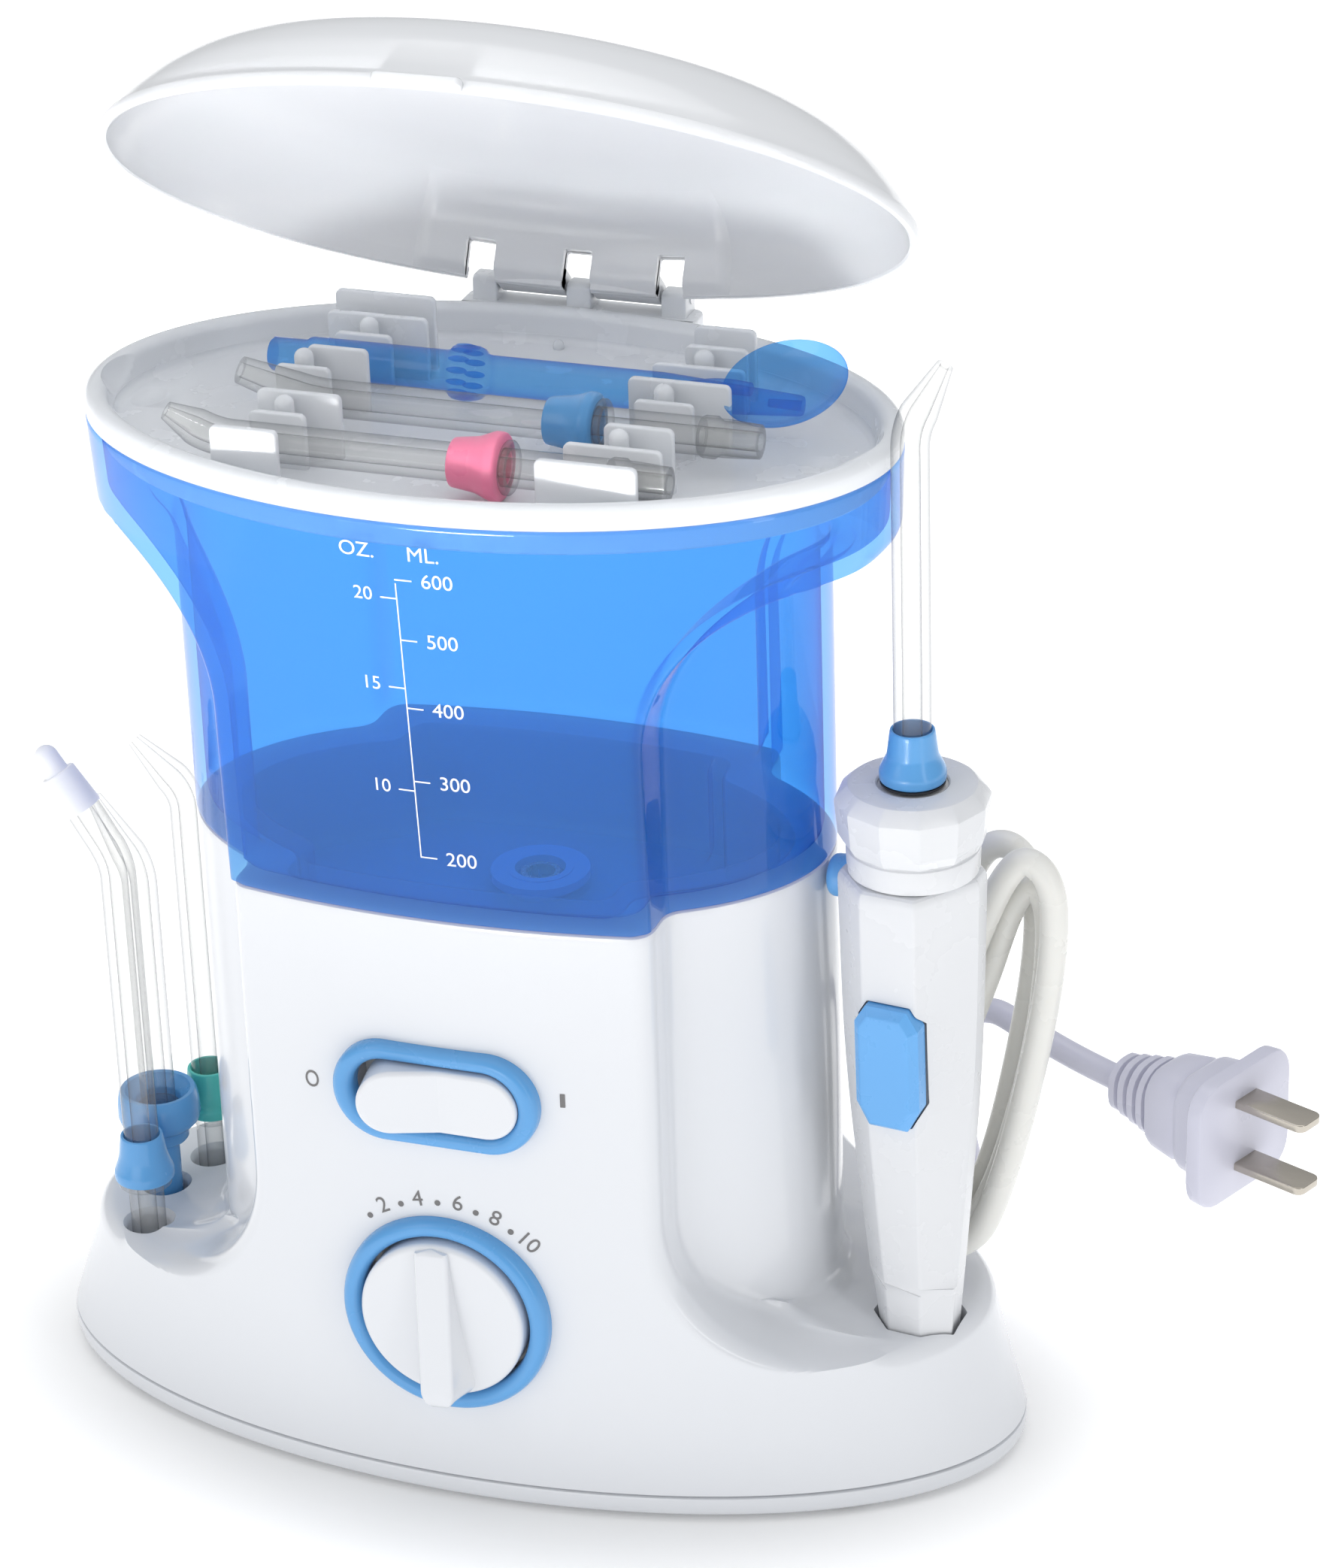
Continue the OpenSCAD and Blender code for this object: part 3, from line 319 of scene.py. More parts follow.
def smooth_path(points, per=10):
    """Catmull-Rom curve through the points."""
    p = np.asarray(points, float)
    p = np.vstack([2 * p[0] - p[1], p, 2 * p[-1] - p[-2]])
    out = []
    for i in range(1, len(p) - 2):
        for t in np.linspace(0, 1, per, endpoint=False):
            a, b, c, d = p[i - 1:i + 3]
            out.append(0.5 * (2 * b + (c - a) * t + (2 * a - 5 * b + 4 * c - d) * t * t
                              + (3 * b - a - 3 * c + d) * t ** 3))
    out.append(p[-2])
    return np.array(out)


def pipe(points, r_out, r_in, n=40):
    """A hollow tube, closed at both ends by a flat annulus."""
    outer, inner = sweep(points, r_out, n), sweep(points, r_in, n)
    return torus_skin(outer + inner[::-1])


def rounded_outline(corners, radius, steps=5):
    """Polygon corners (x, y) with each corner rounded."""
    c = np.asarray(corners, float)
    out = []
    for i in range(len(c)):
        p, q, r = c[i - 1], c[i], c[(i + 1) % len(c)]
        a, b = p - q, r - q
        la, lb = np.linalg.norm(a), np.linalg.norm(b)
        a, b = a / la, b / lb
        half = math.acos(np.clip(a @ b, -1, 1)) / 2
        rad = radius[i] if hasattr(radius, "__len__") else radius
        d = min(rad / math.tan(half), 0.45 * la, 0.45 * lb)
        rad = d * math.tan(half)
        centre = q + (a + b) / np.linalg.norm(a + b) * rad / math.sin(half)
        s, e = q + a * d - centre, q + b * d - centre
        a0 = math.atan2(s[1], s[0])
        turn = (math.atan2(e[1], e[0]) - a0 + PI) % (2 * PI) - PI
        for t in np.linspace(0, 1, steps):
            out.append(centre + rad * np.array([math.cos(a0 + turn * t), math.sin(a0 + turn * t)]))
    return np.array(out)


def inset_outline(outline, d):
    """Moves a counter-clockwise outline inwards by d along its vertex normals."""
    o = np.asarray(outline, float)
    t = np.roll(o, -1, 0) - np.roll(o, 1, 0)
    length = np.linalg.norm(t, axis=1)[:, None]
    return o - d * np.stack([t[:, 1], -t[:, 0]], 1) / np.maximum(length, 1e-9)


def inset_corners(corners, d):
    """Corners of a convex outline moved in by d along both neighbouring edges."""
    c = np.asarray(corners, float)
    t = np.roll(c, -1, 0) - c
    t /= np.linalg.norm(t, axis=1)[:, None]
    n = np.column_stack([-t[:, 1], t[:, 0]])
    out = []
    for i in range(len(c)):
        both = np.array([n[i - 1], n[i]])
        out.append(np.linalg.solve(both, [both[0] @ c[i] + d, both[1] @ c[i] + d]))
    return np.array(out)


def box2(x0, y0, x1, y1, radius, steps=5):
    """A rounded rectangle from its low corner to its high corner."""
    return rounded_outline([(x0, y0), (x1, y0), (x1, y1), (x0, y1)], radius, steps)


def level(outline, z):
    """An outline laid flat at height z."""
    return np.column_stack([outline, np.full(len(outline), z)])


def slab(outline, z0, z1, edge=0.4, steps=4):
    """An extruded outline with rounded edges at both ends; rings along Z."""
    rings = []
    for z, s in ((z0, 1), (z1, -1)):
        arc = [(edge * (1 - math.sin(a)), s * edge * (1 - math.cos(a)))
               for a in np.linspace(0, PI / 2, steps)]
        if s < 0:
            arc = arc[::-1]
        for d, dz in arc:
            rings.append(level(inset_outline(outline, d), z + dz))
    return capped(rings)


def circle2(r, n=64, c=(0, 0)):
    a = np.arange(n) * 2 * PI / n
    return np.column_stack([c[0] + r * np.cos(a), c[1] + r * np.sin(a)])


def stadium2(length, height, n=24):
    r, d = height / 2, (length - height) / 2
    a = np.linspace(-PI / 2, PI / 2, n)
    right = np.column_stack([d + r * np.cos(a), r * np.sin(a)])
    mid = np.linspace(d, -d, 9)[1:-1]
    top = np.column_stack([mid, np.full(7, r)])
    return np.vstack([right, top, -right, -top])


FRONT = Matrix.Rotation(PI / 2, 4, "X")  # local XY upright, local Z towards -Y


def carve(obj, *cutters):
    """Cuts the cutter meshes out of obj's mesh."""
    dg = bpy.context.evaluated_depsgraph_get()
    holders = []
    for me in cutters:
        cutter = bpy.data.objects.new("cutter", me)
        scene.collection.objects.link(cutter)
        holders.append(cutter)
        mod = obj.modifiers.new("cut", "BOOLEAN")
        mod.operation, mod.object, mod.solver = "DIFFERENCE", cutter, "EXACT"
    bpy.context.view_layer.update()
    dg.update()
    me = bpy.data.meshes.new_from_object(obj.evaluated_get(dg))
    obj.modifiers.clear()
    obj.data = me
    for c in holders:
        bpy.data.objects.remove(c)
    return obj


# ---------------------------------------------------------------- housing and tank surface

YC = 2.2
COLUMN = (58.7, 37.2, 2.2)
BASE = (92.9, 45.4, 3.2)
LEDGE = (86.3, 46.0, 4.8)
JOINT = (90.7, 41.7, 2.2)
BAND = (71.4, 44.6, 0.3)
RIM = (72.0, 45.7, 0.0)
LEDGE_Z, JOINT_Z, BAND_Z, RIM_Z = 29.0, 116.0, 176.7, 191.7


def oval_r(th, a, b, cy):
    c, s, d = np.cos(th), np.sin(th), YC - cy
    A, B, C = c * c / a ** 2 + s * s / b ** 2, 2 * s * d / b ** 2, (d / b) ** 2 - 1
    return (-B + np.sqrt(B * B - 4 * A * C)) / (2 * A)


def smin(a, b, k):
    h = np.clip(k - np.abs(a - b), 0, None) / k
    return np.minimum(a, b) - h * h * k / 4


def smax(a, b, k):
    return -smin(-a, -b, k)


def oval_rows(th, p, q, t, inset=0.0):
    """Radius of the loft between ovals p and q at t (array, one value per column or row)."""
    a, b, cy = (p[i] + (q[i] - p[i]) * t for i in range(3))
    return oval_r(th, a - inset, b - inset, cy)


def upright(th, z, kind, inset=0.0, edge=5.0, crease=3.0):
    """Radius of column and panels together, at heights z."""
    if kind == "body":
        t = (z - LEDGE_Z) / (JOINT_Z - LEDGE_Z)
        loft = oval_rows(th, LEDGE, JOINT, np.clip(t, 0, 1), inset)
        R = 30 + inset
        dz = np.clip(LEDGE_Z - inset + R - z, 0, R)
    else:
        t = (z - JOINT_Z) / (BAND_Z - JOINT_Z)
        loft = oval_rows(th, JOINT, BAND, np.clip(t, 0, 1), inset)
        R = 27 + inset
        dz = np.clip(z - (BAND_Z + inset - R), 0, R)
    half = 38.3 - inset + R - np.sqrt(R * R - dz * dz)
    side = half / np.maximum(np.abs(np.cos(th)), 0.02)
    column = oval_r(th, COLUMN[0] - inset, COLUMN[1] - inset, COLUMN[2])
    return smax(column, smin(loft, side, edge), crease)


def ring3(th, r, z):
    return np.stack([r * np.cos(th), YC + r * np.sin(th), np.broadcast_to(z, th.shape)], 1)


def ease(x):
    x = np.clip(x, 0, 1)
    return x * x * (3 - 2 * x)


def shelf_rows(th, up, out_r, z_s, z_end, sgn, fillet, round_r, z_out, wall_n, edge_n=10):
    """Rings from the outer wall over a shelf at z_s to the upright wall, ending at z_end.
    sgn is +1 when the upright wall rises from the shelf and -1 when it hangs below it."""
    D = np.maximum(out_r(z_s) - up(th, np.full_like(th, z_s)), 0)
    q = ease(D / 12)
    rho, f = np.minimum(round_r, 0.42 * D), np.minimum(fillet, 0.45 * D)
    za, zb = z_s - sgn * round_r, z_s + sgn * fillet

    def plain(z):
        r = np.where((z - z_s) * sgn < 0, out_r(z), up(th, z))
        return r, z

    rows, total = [], 3 * edge_n
    for i in range(total + 1):
        zs = np.full_like(th, za + (zb - za) * i / total)
        pr, pz = plain(zs)
        if i <= edge_n:
            a = PI / 2 * i / edge_n
            z = z_s - sgn * rho * (1 - math.sin(a))
            r = out_r(z) - rho * (1 - math.cos(a))
        elif i <= 2 * edge_n:
            t = (i - edge_n) / edge_n
            z = np.full_like(th, z_s)
            r = (out_r(z_s) - rho) * (1 - t) + (up(th, z) + f) * t
        else:
            a = PI / 2 * (i - 2 * edge_n) / edge_n
            z = z_s + sgn * f * (1 - math.cos(a))
            r = up(th, z) + f * (1 - math.sin(a))
        rows.append(ring3(th, pr * (1 - q) + r * q, pz * (1 - q) + z * q))
    z0 = zb * (1 - q) + (z_s + sgn * f) * q
    for t in np.linspace(0, 1, wall_n)[1:]:
        z = z0 + (z_end - z0) * t ** 1.25
        rows.append(ring3(th, up(th, z), z))
    z_first = za * (1 - q) + (z_s - sgn * rho) * q
    below = [ring3(th, out_r(z), z) for z in (z_out + (z_first - z_out) * t for t in np.linspace(0, 1,
            14)[:-1])]
    return below + rows


def shrink(ring, share, z):
    c = np.array([0, YC, 0])
    r = (ring - c) * np.array([share, share, 0]) + c
    r[:, 2] = z
    return r


TH = np.arange(1080) * 2 * PI / 1080
FEW = np.arange(360) * 2 * PI / 360


def foot_r(z):
    t = np.clip((z - 5.2) / (LEDGE_Z - 5.2), 0, 1)
    low, high = oval_r(TH, *BASE), oval_r(TH, *LEDGE)
    return high + (low - high) * (1 - t) ** 1.3


body_up = lambda th, z: upright(th, z, "body")
rows = shelf_rows(TH, body_up, foot_r, LEDGE_Z, JOINT_Z - 0.8, 1, 7.0, 3.2, 5.7, 150)
bottom, top = rows[0], rows[-1]
BASIN_Z = 96.0


def basin(*steps):
    """Rings of the basin under the joint, each at an inset from the joint's outline and a height."""
    return [ring3(TH, upright(TH, np.full_like(TH, z), "tank", inset), z) for inset, z in steps]


rows = [shrink(bottom, 0.0005, 5.5), shrink(bottom, 0.9, 5.5), shrink(bottom, 0.996, 5.5)] + rows + [
    shrink(top, 0.9965, JOINT_Z - 0.2), shrink(top, 0.988, JOINT_Z - 0.02)]
rows += basin((7.0, JOINT_Z - 0.02), (7.45, JOINT_Z - 0.25), (7.6, JOINT_Z - 0.8), (7.6, BASIN_Z + 1.4),
              (7.9, BASIN_Z), (8.8, BASIN_Z - 0.4))
rows.append(shrink(rows[-1], 0.0005, BASIN_Z - 0.4))
v, f = capped(rows)
housing = Shape().add(v, f).object("housing")

TIPS = {"front": (-71.2, -11.9), "middle": (-73.8, 1.5), "rear": (-68.7, 13.4)}
WAND = (75.5, -4.6)
HOSE_AT = (70.0, 20.0)


def octagon(r, n=8, turn=16.0):
    a = np.radians(turn) + np.arange(n) * 2 * PI / n
    return np.column_stack([r * np.cos(a), r * np.sin(a)])


cutters = []
hole = [(0.001, 12), (4.1, 12), (4.1, 27.6), (4.25, 28.3), (4.9, 29.1), (5.2, 30.5), (0.001, 30.5)]
for x, y in TIPS.values():
    cutters.append(Shape().add(*capped(lathe(hole, 48)), m=place((x, y, 0))).mesh("cut"))
cradle = rounded_outline(octagon(8.4), 0.9)
cutters.append(Shape().add(*slab(cradle, 22, 34, 0.3), m=place((WAND[0], WAND[1] + 1.9, 0))).mesh("cut"))
hole = [(0.001, 20), (4.2, 20), (4.2, 28.6), (4.7, 29.2), (4.7, 31), (0.001, 31)]
cutters.append(Shape().add(*capped(lathe(hole, 48)), m=place((*HOSE_AT, 0))).mesh("cut"))
cutters.append(Shape().add(*slab(stadium2(31.5, 13.9), 33.5, 46, 0.2), m=place((0, 0,
        82.4)) @ FRONT).mesh("cut"))
cutters.append(Shape().add(*slab(circle2(17.0, 96), 36.5, 46, 0.2), m=place((0, 0, 39.1)) @ FRONT).mesh("cut"))
carve(housing, *cutters)
dress(housing, WHITE, "base_body", "white_abs", ("body_shell",), 30)

# Base plate, set back a little under the parting line
plate_rows = []
for inset, z in ((92, 1.0), (2.2, 1.0), (0.9, 1.25), (0.35, 1.8), (0.1, 2.6), (0.0, 4.6), (0.15, 4.95),
        (0.6, 5.15),
                 (92, 5.15)):
    scale_in = 1 if inset < 90 else 0
    r = oval_r(FEW, BASE[0] - inset * scale_in, BASE[1] - inset * scale_in,
            BASE[2]) * (1 if scale_in else 0.001)
    plate_rows.append(ring3(FEW, r, z))
plate = Shape().add(*capped(plate_rows))
plate.add(*slab(circle2(12), 0.0, 1.4, 0.3))
plate.piece("base_plate_moulding", WHITE, "base_body", "white_abs", replaces=("base_plate",))

# Tank: outer skin up, inner skin down
WALL = 2.2


def band_r(inset=0.0):
    def r(z):
        t = np.clip((z - BAND_Z) / (RIM_Z - BAND_Z), 0, 1)
        return oval_rows(TH, BAND, RIM, t, inset)
    return r


def tank_up(inset, edge, crease):
    return lambda th, z: upright(th, z, "tank", inset, edge, crease)


outer = shelf_rows(TH, tank_up(0, 2.2, 2.5), band_r(0), BAND_Z, JOINT_Z + 0.9, -1, 6.0, 3.0, RIM_Z - 0.3, 110)
inner = shelf_rows(TH, tank_up(WALL, 1.4, 3.2), band_r(WALL), BAND_Z + WALL, JOINT_Z + 4.4, -1, 7.5, 1.8,
                   RIM_Z - 0.3, 110)
rings = basin((9.4, BASIN_Z + 0.05), (8.4, BASIN_Z + 0.3), (8.0, BASIN_Z + 1.1), (8.0, JOINT_Z - 1.0),
              (7.7, JOINT_Z - 0.1), (7.0, JOINT_Z + 0.1), (1.2, JOINT_Z + 0.1), (0.4, JOINT_Z + 0.2),
              (0.1, JOINT_Z + 0.5))
rings.insert(0, shrink(rings[0], 0.0005, BASIN_Z + 0.05))
rings += outer[::-1]
rings += [shrink(outer[0], 0.997, RIM_Z - 0.02), shrink(inner[0], 1.003, RIM_Z - 0.02)] + inner
rings += basin((2.5, JOINT_Z + 3.1), (3.3, JOINT_Z + 2.45), (4.4, JOINT_Z + 2.2), (9.0, JOINT_Z + 2.2),
               (9.8, JOINT_Z + 1.9), (10.2, JOINT_Z + 1.1), (10.2, BASIN_Z + 4.5), (10.5, BASIN_Z + 3.2),
               (11.3, BASIN_Z + 2.4), (12.5, BASIN_Z + 2.2))
rings.append(shrink(rings[-1], 0.0005, BASIN_Z + 2.2))
v, f = capped(rings)
Shape().add(v, f).piece("tank_bowl", AZURE, "tank_body", "tank_blue", replaces=("tank",), sharp=50)

# ---------------------------------------------------------------- printed marks

LEGEND_LIFT = 0.06


def panel_y(x, z, kind):
    t = (z - LEDGE_Z) / (JOINT_Z - LEDGE_Z) if kind == "body" else (z - JOINT_Z) / (BAND_Z - JOINT_Z)
    p, q = (LEDGE, JOINT) if kind == "body" else (JOINT, BAND)
    if kind != "body" and z > BAND_Z:
        p, q, t = BAND, RIM, (z - BAND_Z) / (RIM_Z - BAND_Z)
    a, b, cy = (p[i] + (q[i] - p[i]) * t for i in range(3))
    return cy - b * math.sqrt(1 - (x / a) ** 2)


def facing(x, z, kind, turn=0.0):
    """Matrix that lays a flat mark on the front panel at x, z."""
    e = 0.5
    y = panel_y(x, z, kind) - LEGEND_LIFT
    dx = Vector((2 * e, panel_y(x + e, z, kind) - panel_y(x - e, z, kind), 0)).normalized()
    dz = Vector((0, panel_y(x, z + e, kind) - panel_y(x, z - e, kind), 2 * e)).normalized()
    n = dx.cross(dz).normalized()
    dz = n.cross(dx)
    m = Matrix((dx, dz, n)).transposed().to_4x4()
    m.translation = Vector((x, y, z))
    return m @ Matrix.Rotation(math.radians(turn), 4, "Z")


def text_shape(shape, text, size, m):
    cu = bpy.data.curves.new("legend", "FONT")
    cu.body, cu.size, cu.align_x, cu.align_y = text, size, "CENTER", "CENTER"
    cu.extrude = 0.02
    cu.resolution_u = 6
    ob = bpy.data.objects.new("legend", cu)
    scene.collection.objects.link(ob)
    bpy.context.view_layer.update()
    me = bpy.data.meshes.new_from_object(ob.evaluated_get(bpy.context.evaluated_depsgraph_get()))
    shape.add([tuple(p.co) for p in me.vertices], [tuple(p.vertices) for p in me.polygons], m)
    bpy.data.objects.remove(ob)


def print_mark(shape, outline, m):
    """A thin flat mark lying on the surface at m."""
    shape.add(*slab(outline, -0.02, 0.03, 0.005), m=m)


marks = Shape()
DIAL = (0.0, 39.1)
for deg, label in ((-39, "."), (-29.8, "2"), (-20.6, "."), (-11.5, "4"), (-2, "."), (7.6, "6"), (16.6, "."),
                   (25.7, "8"), (34.7, "."), (43.7, "10")):
    ang = math.radians(deg)
    rr = 22.0 if label == "." else 22.6
    x, z = DIAL[0] + rr * math.sin(ang), DIAL[1] + rr * math.cos(ang)
    m = facing(x, z, "body", -math.degrees(ang) * 0.92)
    if label == ".":
        print_mark(marks, circle2(0.55, 20), m)
    else:
        text_shape(marks, label, 4.3, m)
text_shape(marks, "O", 4.6, facing(-23.8, 81.2, "body") @ Matrix.Scale(0.78, 4, (1, 0, 0)))
print_mark(marks, box2(-0.45, -1.3, 0.45, 1.3, 0.1), facing(22.7, 84.2, "body"))
marks.piece("panel_legends", PRINT, "base_body", "white_abs")

scale = Shape()


def tick(x, z):
    print_mark(scale, box2(-1.5, -0.13, 1.5, 0.13, 0.05), facing(x, z, "tank"))


for ml, z in ((200, 128.9), (300, 143.6), (400, 157.6), (500, 170.4), (600, 181.6)):
    tick(1.4, z)
    text_shape(scale, str(ml), 3.7, facing(7.2, z, "tank"))
for z in np.arange(130.2, 181.6, 2.6):
    print_mark(scale, box2(-0.11, -1.32, 0.11, 1.32, 0.02), facing(0, z, "tank"))
for label, z in (("10", 141.7), ("15", 161.3), ("20", 178.05)):
    tick(-1.4, z)
    text_shape(scale, label, 3.5, facing(-6.0, z + 0.3, "tank"))
text_shape(scale, "ML.", 3.8, facing(5.2, 186.4, "tank"))
text_shape(scale, "OZ.", 3.8, facing(-6.4, 186.4, "tank"))
scale.piece("tank_scale_marks", SCALE_INK, "tank_body", "tank_blue")

# ---------------------------------------------------------------- controls


bead = [(0.0, 0.0), (0.0, 1.0)] + [(0.5 - 0.5 * math.cos(a), 1.0 + 1.0 * math.sin(a) ** 0.8)
                                   for a in np.linspace(0.12, PI - 0.12, 14)] + [(1.0, 1.0), (1.0, 0.0)]


def band_on_front(name, node_name, o, i, at_z, height):
    """A raised bead on the front panel between the outlines o and i."""
    rings = [level(i + (o - i) * s, h * height) for s, h in bead]
    Shape().add(*torus_skin(rings), m=place((0, -38.5, at_z)) @ FRONT).piece(
        name, SKY, "base_body", "sky_plastic", (node_name,), 60)


band_on_front("switch_bezel", "switch_ring", stadium2(37.8, 19.2, 40), stadium2(30.5, 12.9, 40), 82.4, 1.9)
band_on_front("dial_bezel", "dial_ring", circle2(19.25, 128), circle2(15.75, 128), 39.1, 2.35)

# Rocker: a shallow V across its face, right half pressed
face = stadium2(28.4, 12.2, 40)
rings = [level(inset_outline(face, d), z) for z, d in ((2.2, 0.3), (2.5, 0.0), (7.7, 0.0))]
rings += [level(inset_outline(face, 0.9 * (1 - math.cos(a))), 7.7 + 0.9 * math.sin(a))
          for a in np.linspace(0, PI / 2, 7)]
rings += [level(inset_outline(face, 0.9) * share, 8.6) for share in (0.9, 0.75, 0.55, 0.35, 0.15, 0.02)]
rings = np.array(rings)
lift = np.clip((rings[:, :, 2] - 2.5) / 5.2, 0, 1)
rings[:, :, 2] += lift * (np.sqrt(rings[:, :, 0] ** 2 + 0.03) - 0.7) * math.tan(math.radians(9))
v, f = capped(rings)
m = place((0, -34.2, 82.4), (0, 0, 8.5)) @ FRONT
Shape().add(v, f, m).piece("rocker", WHITE, "switch_rocker_body", "white_abs", replaces=("switch_rocker",),
        sharp=12)

# Dial: a disc with a tapering grip
knob = Shape()
disc = [(0.001, 0), (15.2, 0)] + [(15.2 - 1.1 * (1 - math.cos(a)), 3.5 + 1.1 * math.sin(a))
                                  for a in np.linspace(0, PI / 2, 7)] + [(12, 4.75), (6, 4.8), (0.001, 4.8)]
knob.add(*capped(lathe(disc, 128)))
grip = []
for s in np.linspace(0, 1, 48):
    end = math.sqrt(max(0.0, 1 - ((0.13 - s) / 0.13) ** 2)) if s < 0.13 else 1.0
    tip = math.sqrt(max(0.0, 1 - ((s - 0.97) / 0.03) ** 2)) if s > 0.97 else 1.0
    foot = (3.2 + 3.5 * (1 - s) ** 1.4) * max(0.05, end * tip)
    ridge = min(foot, 3.15 * max(0.05, end * tip))
    low, high = 3.2, 4.7 + (6.3 - 5.6 * s) * max(0.08, min(end, tip) ** 0.35)
    t = np.linspace(0, 1, 11)
    wall = [ridge + (foot - ridge) * (1 - t) ** 1.5, 0 * t, low + (high - 0.7 - low) * t]
    turn = np.linspace(0, PI / 2, 5)[1:]
    brim = [ridge - 0.7 * (1 - np.cos(turn)) * ridge / 3.15, 0 * turn, high - 0.7 + 0.7 * np.sin(turn)]
    half = np.vstack([np.column_stack(wall), np.column_stack(brim)])
    sole = np.column_stack([np.linspace(-foot, foot, 7)[1:-1], np.zeros(5), np.full(5, low)])
    ring = np.vstack([half, half[::-1] * [-1, 1, 1], sole])
    ring[:, 1] = -15.2 + 29.9 * s
    grip.append(ring)
knob.add(*capped(grip))
Shape().add(np.vstack(knob.v), knob.f, place((0, -39.6, 39.1), (0, -4, 0)) @ FRONT).piece(
    "dial_knob", WHITE, "dial_body", "white_abs", replaces=("pressure_dial",), sharp=42)

# ---------------------------------------------------------------- tray and lid


def oval_ring(rx, ry, z, th=TH, cy=0.0):
    return np.stack([rx * np.cos(th), cy + ry * np.sin(th), np.broadcast_to(float(z), th.shape)], 1)


TRAY_Z, TRAY_TOP, FLOOR = 191.75, 196.0, 190.3
tray_rows = []
for d, z in ((0.001, 188.4), (5.2, 188.4), (4.2, 188.0), (3.2, 186.6), (2.8, 187.0), (2.8, 191.7),
        (0.6, TRAY_Z),
             (0.1, 192.0), (0.0, 193.6)):
    if d == 0.001:
        tray_rows.append(oval_ring(0.03, 0.03, z))
    else:
        tray_rows.append(oval_ring(72 - d, 45.7 - d, z))
for a in np.linspace(0, PI, 14)[1:]:
    tray_rows.append(oval_ring(72 - 2.05 * (1 - math.cos(a)), 45.7 - 2.05 * (1 - math.cos(a)),
                               193.95 + 2.05 * math.sin(a) ** 0.9))
for d, z in ((4.35, 192.9), (4.7, 191.6)):
    tray_rows.append(oval_ring(72 - d, 45.7 - d, z))
for a in np.linspace(0, PI / 2, 7):
    tray_rows.append(oval_ring(72 - 4.8 - 1.3 * (1 - math.cos(a)), 45.7 - 4.8 - 1.3 * (1 - math.cos(a)),
                               FLOOR + 1.3 - 1.3 * math.sin(a)))
for s in (0.85, 0.6, 0.3, 0.001):
    tray_rows.append(oval_ring(65.9 * s, 39.6 * s, FLOOR))
tray = Shape().add(*capped(tray_rows)).object("tray_moulding")


def ellipsoid(c, r, n=48):
    prof = [(max(0.0005, math.sin(a)), -math.cos(a)) for a in np.linspace(0, PI, 25)]
    rings = [ring * np.array(r) + np.array(c) for ring in lathe(prof, n)]
    return capped(rings)


scoops = [Shape().add(*ellipsoid((s * 62.2, -1.5, 198.2), (7.6, 11.0, 8.7))).mesh("cut") for s in (-1, 1)]
carve(tray, *scoops)
dress(tray, TRAY_WHITE, "tray_body", "white_abs", ("tip_tray",), 40)

clips = Shape()


def clip(x0, x1, y, top):
    out = box2(x0, FLOOR - 0.4, x1, top, [0.1, 0.1, 1.1, 1.1], 6)
    clips.add(*slab(out, -0.7, 0.7, 0.35), m=place((0, y, 0)) @ FRONT)


def bump(x, y, top, r=1.7):
    prof = [(0.001, FLOOR - 0.3), (r, FLOOR - 0.3)] + [(r * math.cos(a), top + r * math.sin(a) * 0.9)
                                                      for a in np.linspace(0, PI / 2 - 0.02, 8)]
    clips.add(*capped(lathe(prof, 32)), m=place((x, y, 0)))


clip(-36, -24, -34, 200.8)
clip(21, 38.5, -34, 200.8)
ROWS = [[-33, -23, -24.4, -34, -19, 6.0], [22.5, 39.5, -24.4, 27.5, 39.5, 6.0],
        [-37, -27, -3.8, -33.5, -22.5, 6.0],
        [27.5, 38, -3.8, 24.5, 42.5, 6.0], [-33, -22.5, 13, -36.5, -18, 5.6], [25, 41.5, 13, 29, 40.2, 5.6]]
for x0, x1, y, x2, x3, dy in ROWS:
    clip(x0, x1, y, 200)
    clip(x2, x3, y + dy, 201.5)
    bump((x0 + x1) / 2 - (1 if y == -3.8 else 0), y + dy / 2, 200.4)
clip(-37, -18.5, 23.8, 203.5)
clip(29, 40, 23.8, 203)
POSTS = (-17.7, 0.0, 17.7)
HINGE = (48.3, 198.0)
tab = box2(-22, 43.4, 22, 50.4, [0.3, 0.3, 2.2, 2.2], 6)
clips.add(*slab(tab, TRAY_Z + 0.02, 195.4, 0.5))
post = rounded_outline([(44.6, 192.2), (50.2, 192.2), (50.2, 199.8), (45.2, 199.8)], [0.2, 0.2, 1.9, 1.2], 6)
UP_X = Matrix(((0, 0, 1, 0), (1, 0, 0, 0), (0, 1, 0, 0), (0, 0, 0, 1)))
for x in POSTS:
    clips.add(*slab(post, -2.3, 2.3, 0.3), m=place((x, 0, 0)) @ UP_X)
clips.add(*ellipsoid((-1.5, 38.2, 190.7), (1.0, 1.0, 1.3), 24))
clips.piece("tray_clips", TRAY_WHITE, "tray_body", "white_abs")

# Lid, built closed and then opened about the hinge
LID_Z = 196.05
OPEN = place((0, HINGE[0], HINGE[1]), (-41, 0, 0)) @ place((0, -HINGE[0], -HINGE[1]))
LID_H = np.array([2.3, 5.5, 9.5, 13.2, 15.9, 17.6, 18.3, 18.5])
LID_X = np.array([71.2, 68.9, 65.0, 60.0, 54.0, 45.0, 28.0, 0.02])
LID_Y = np.array([45.0, 44.3, 42.7, 40.0, 36.2, 29.5, 18.0, 0.01])


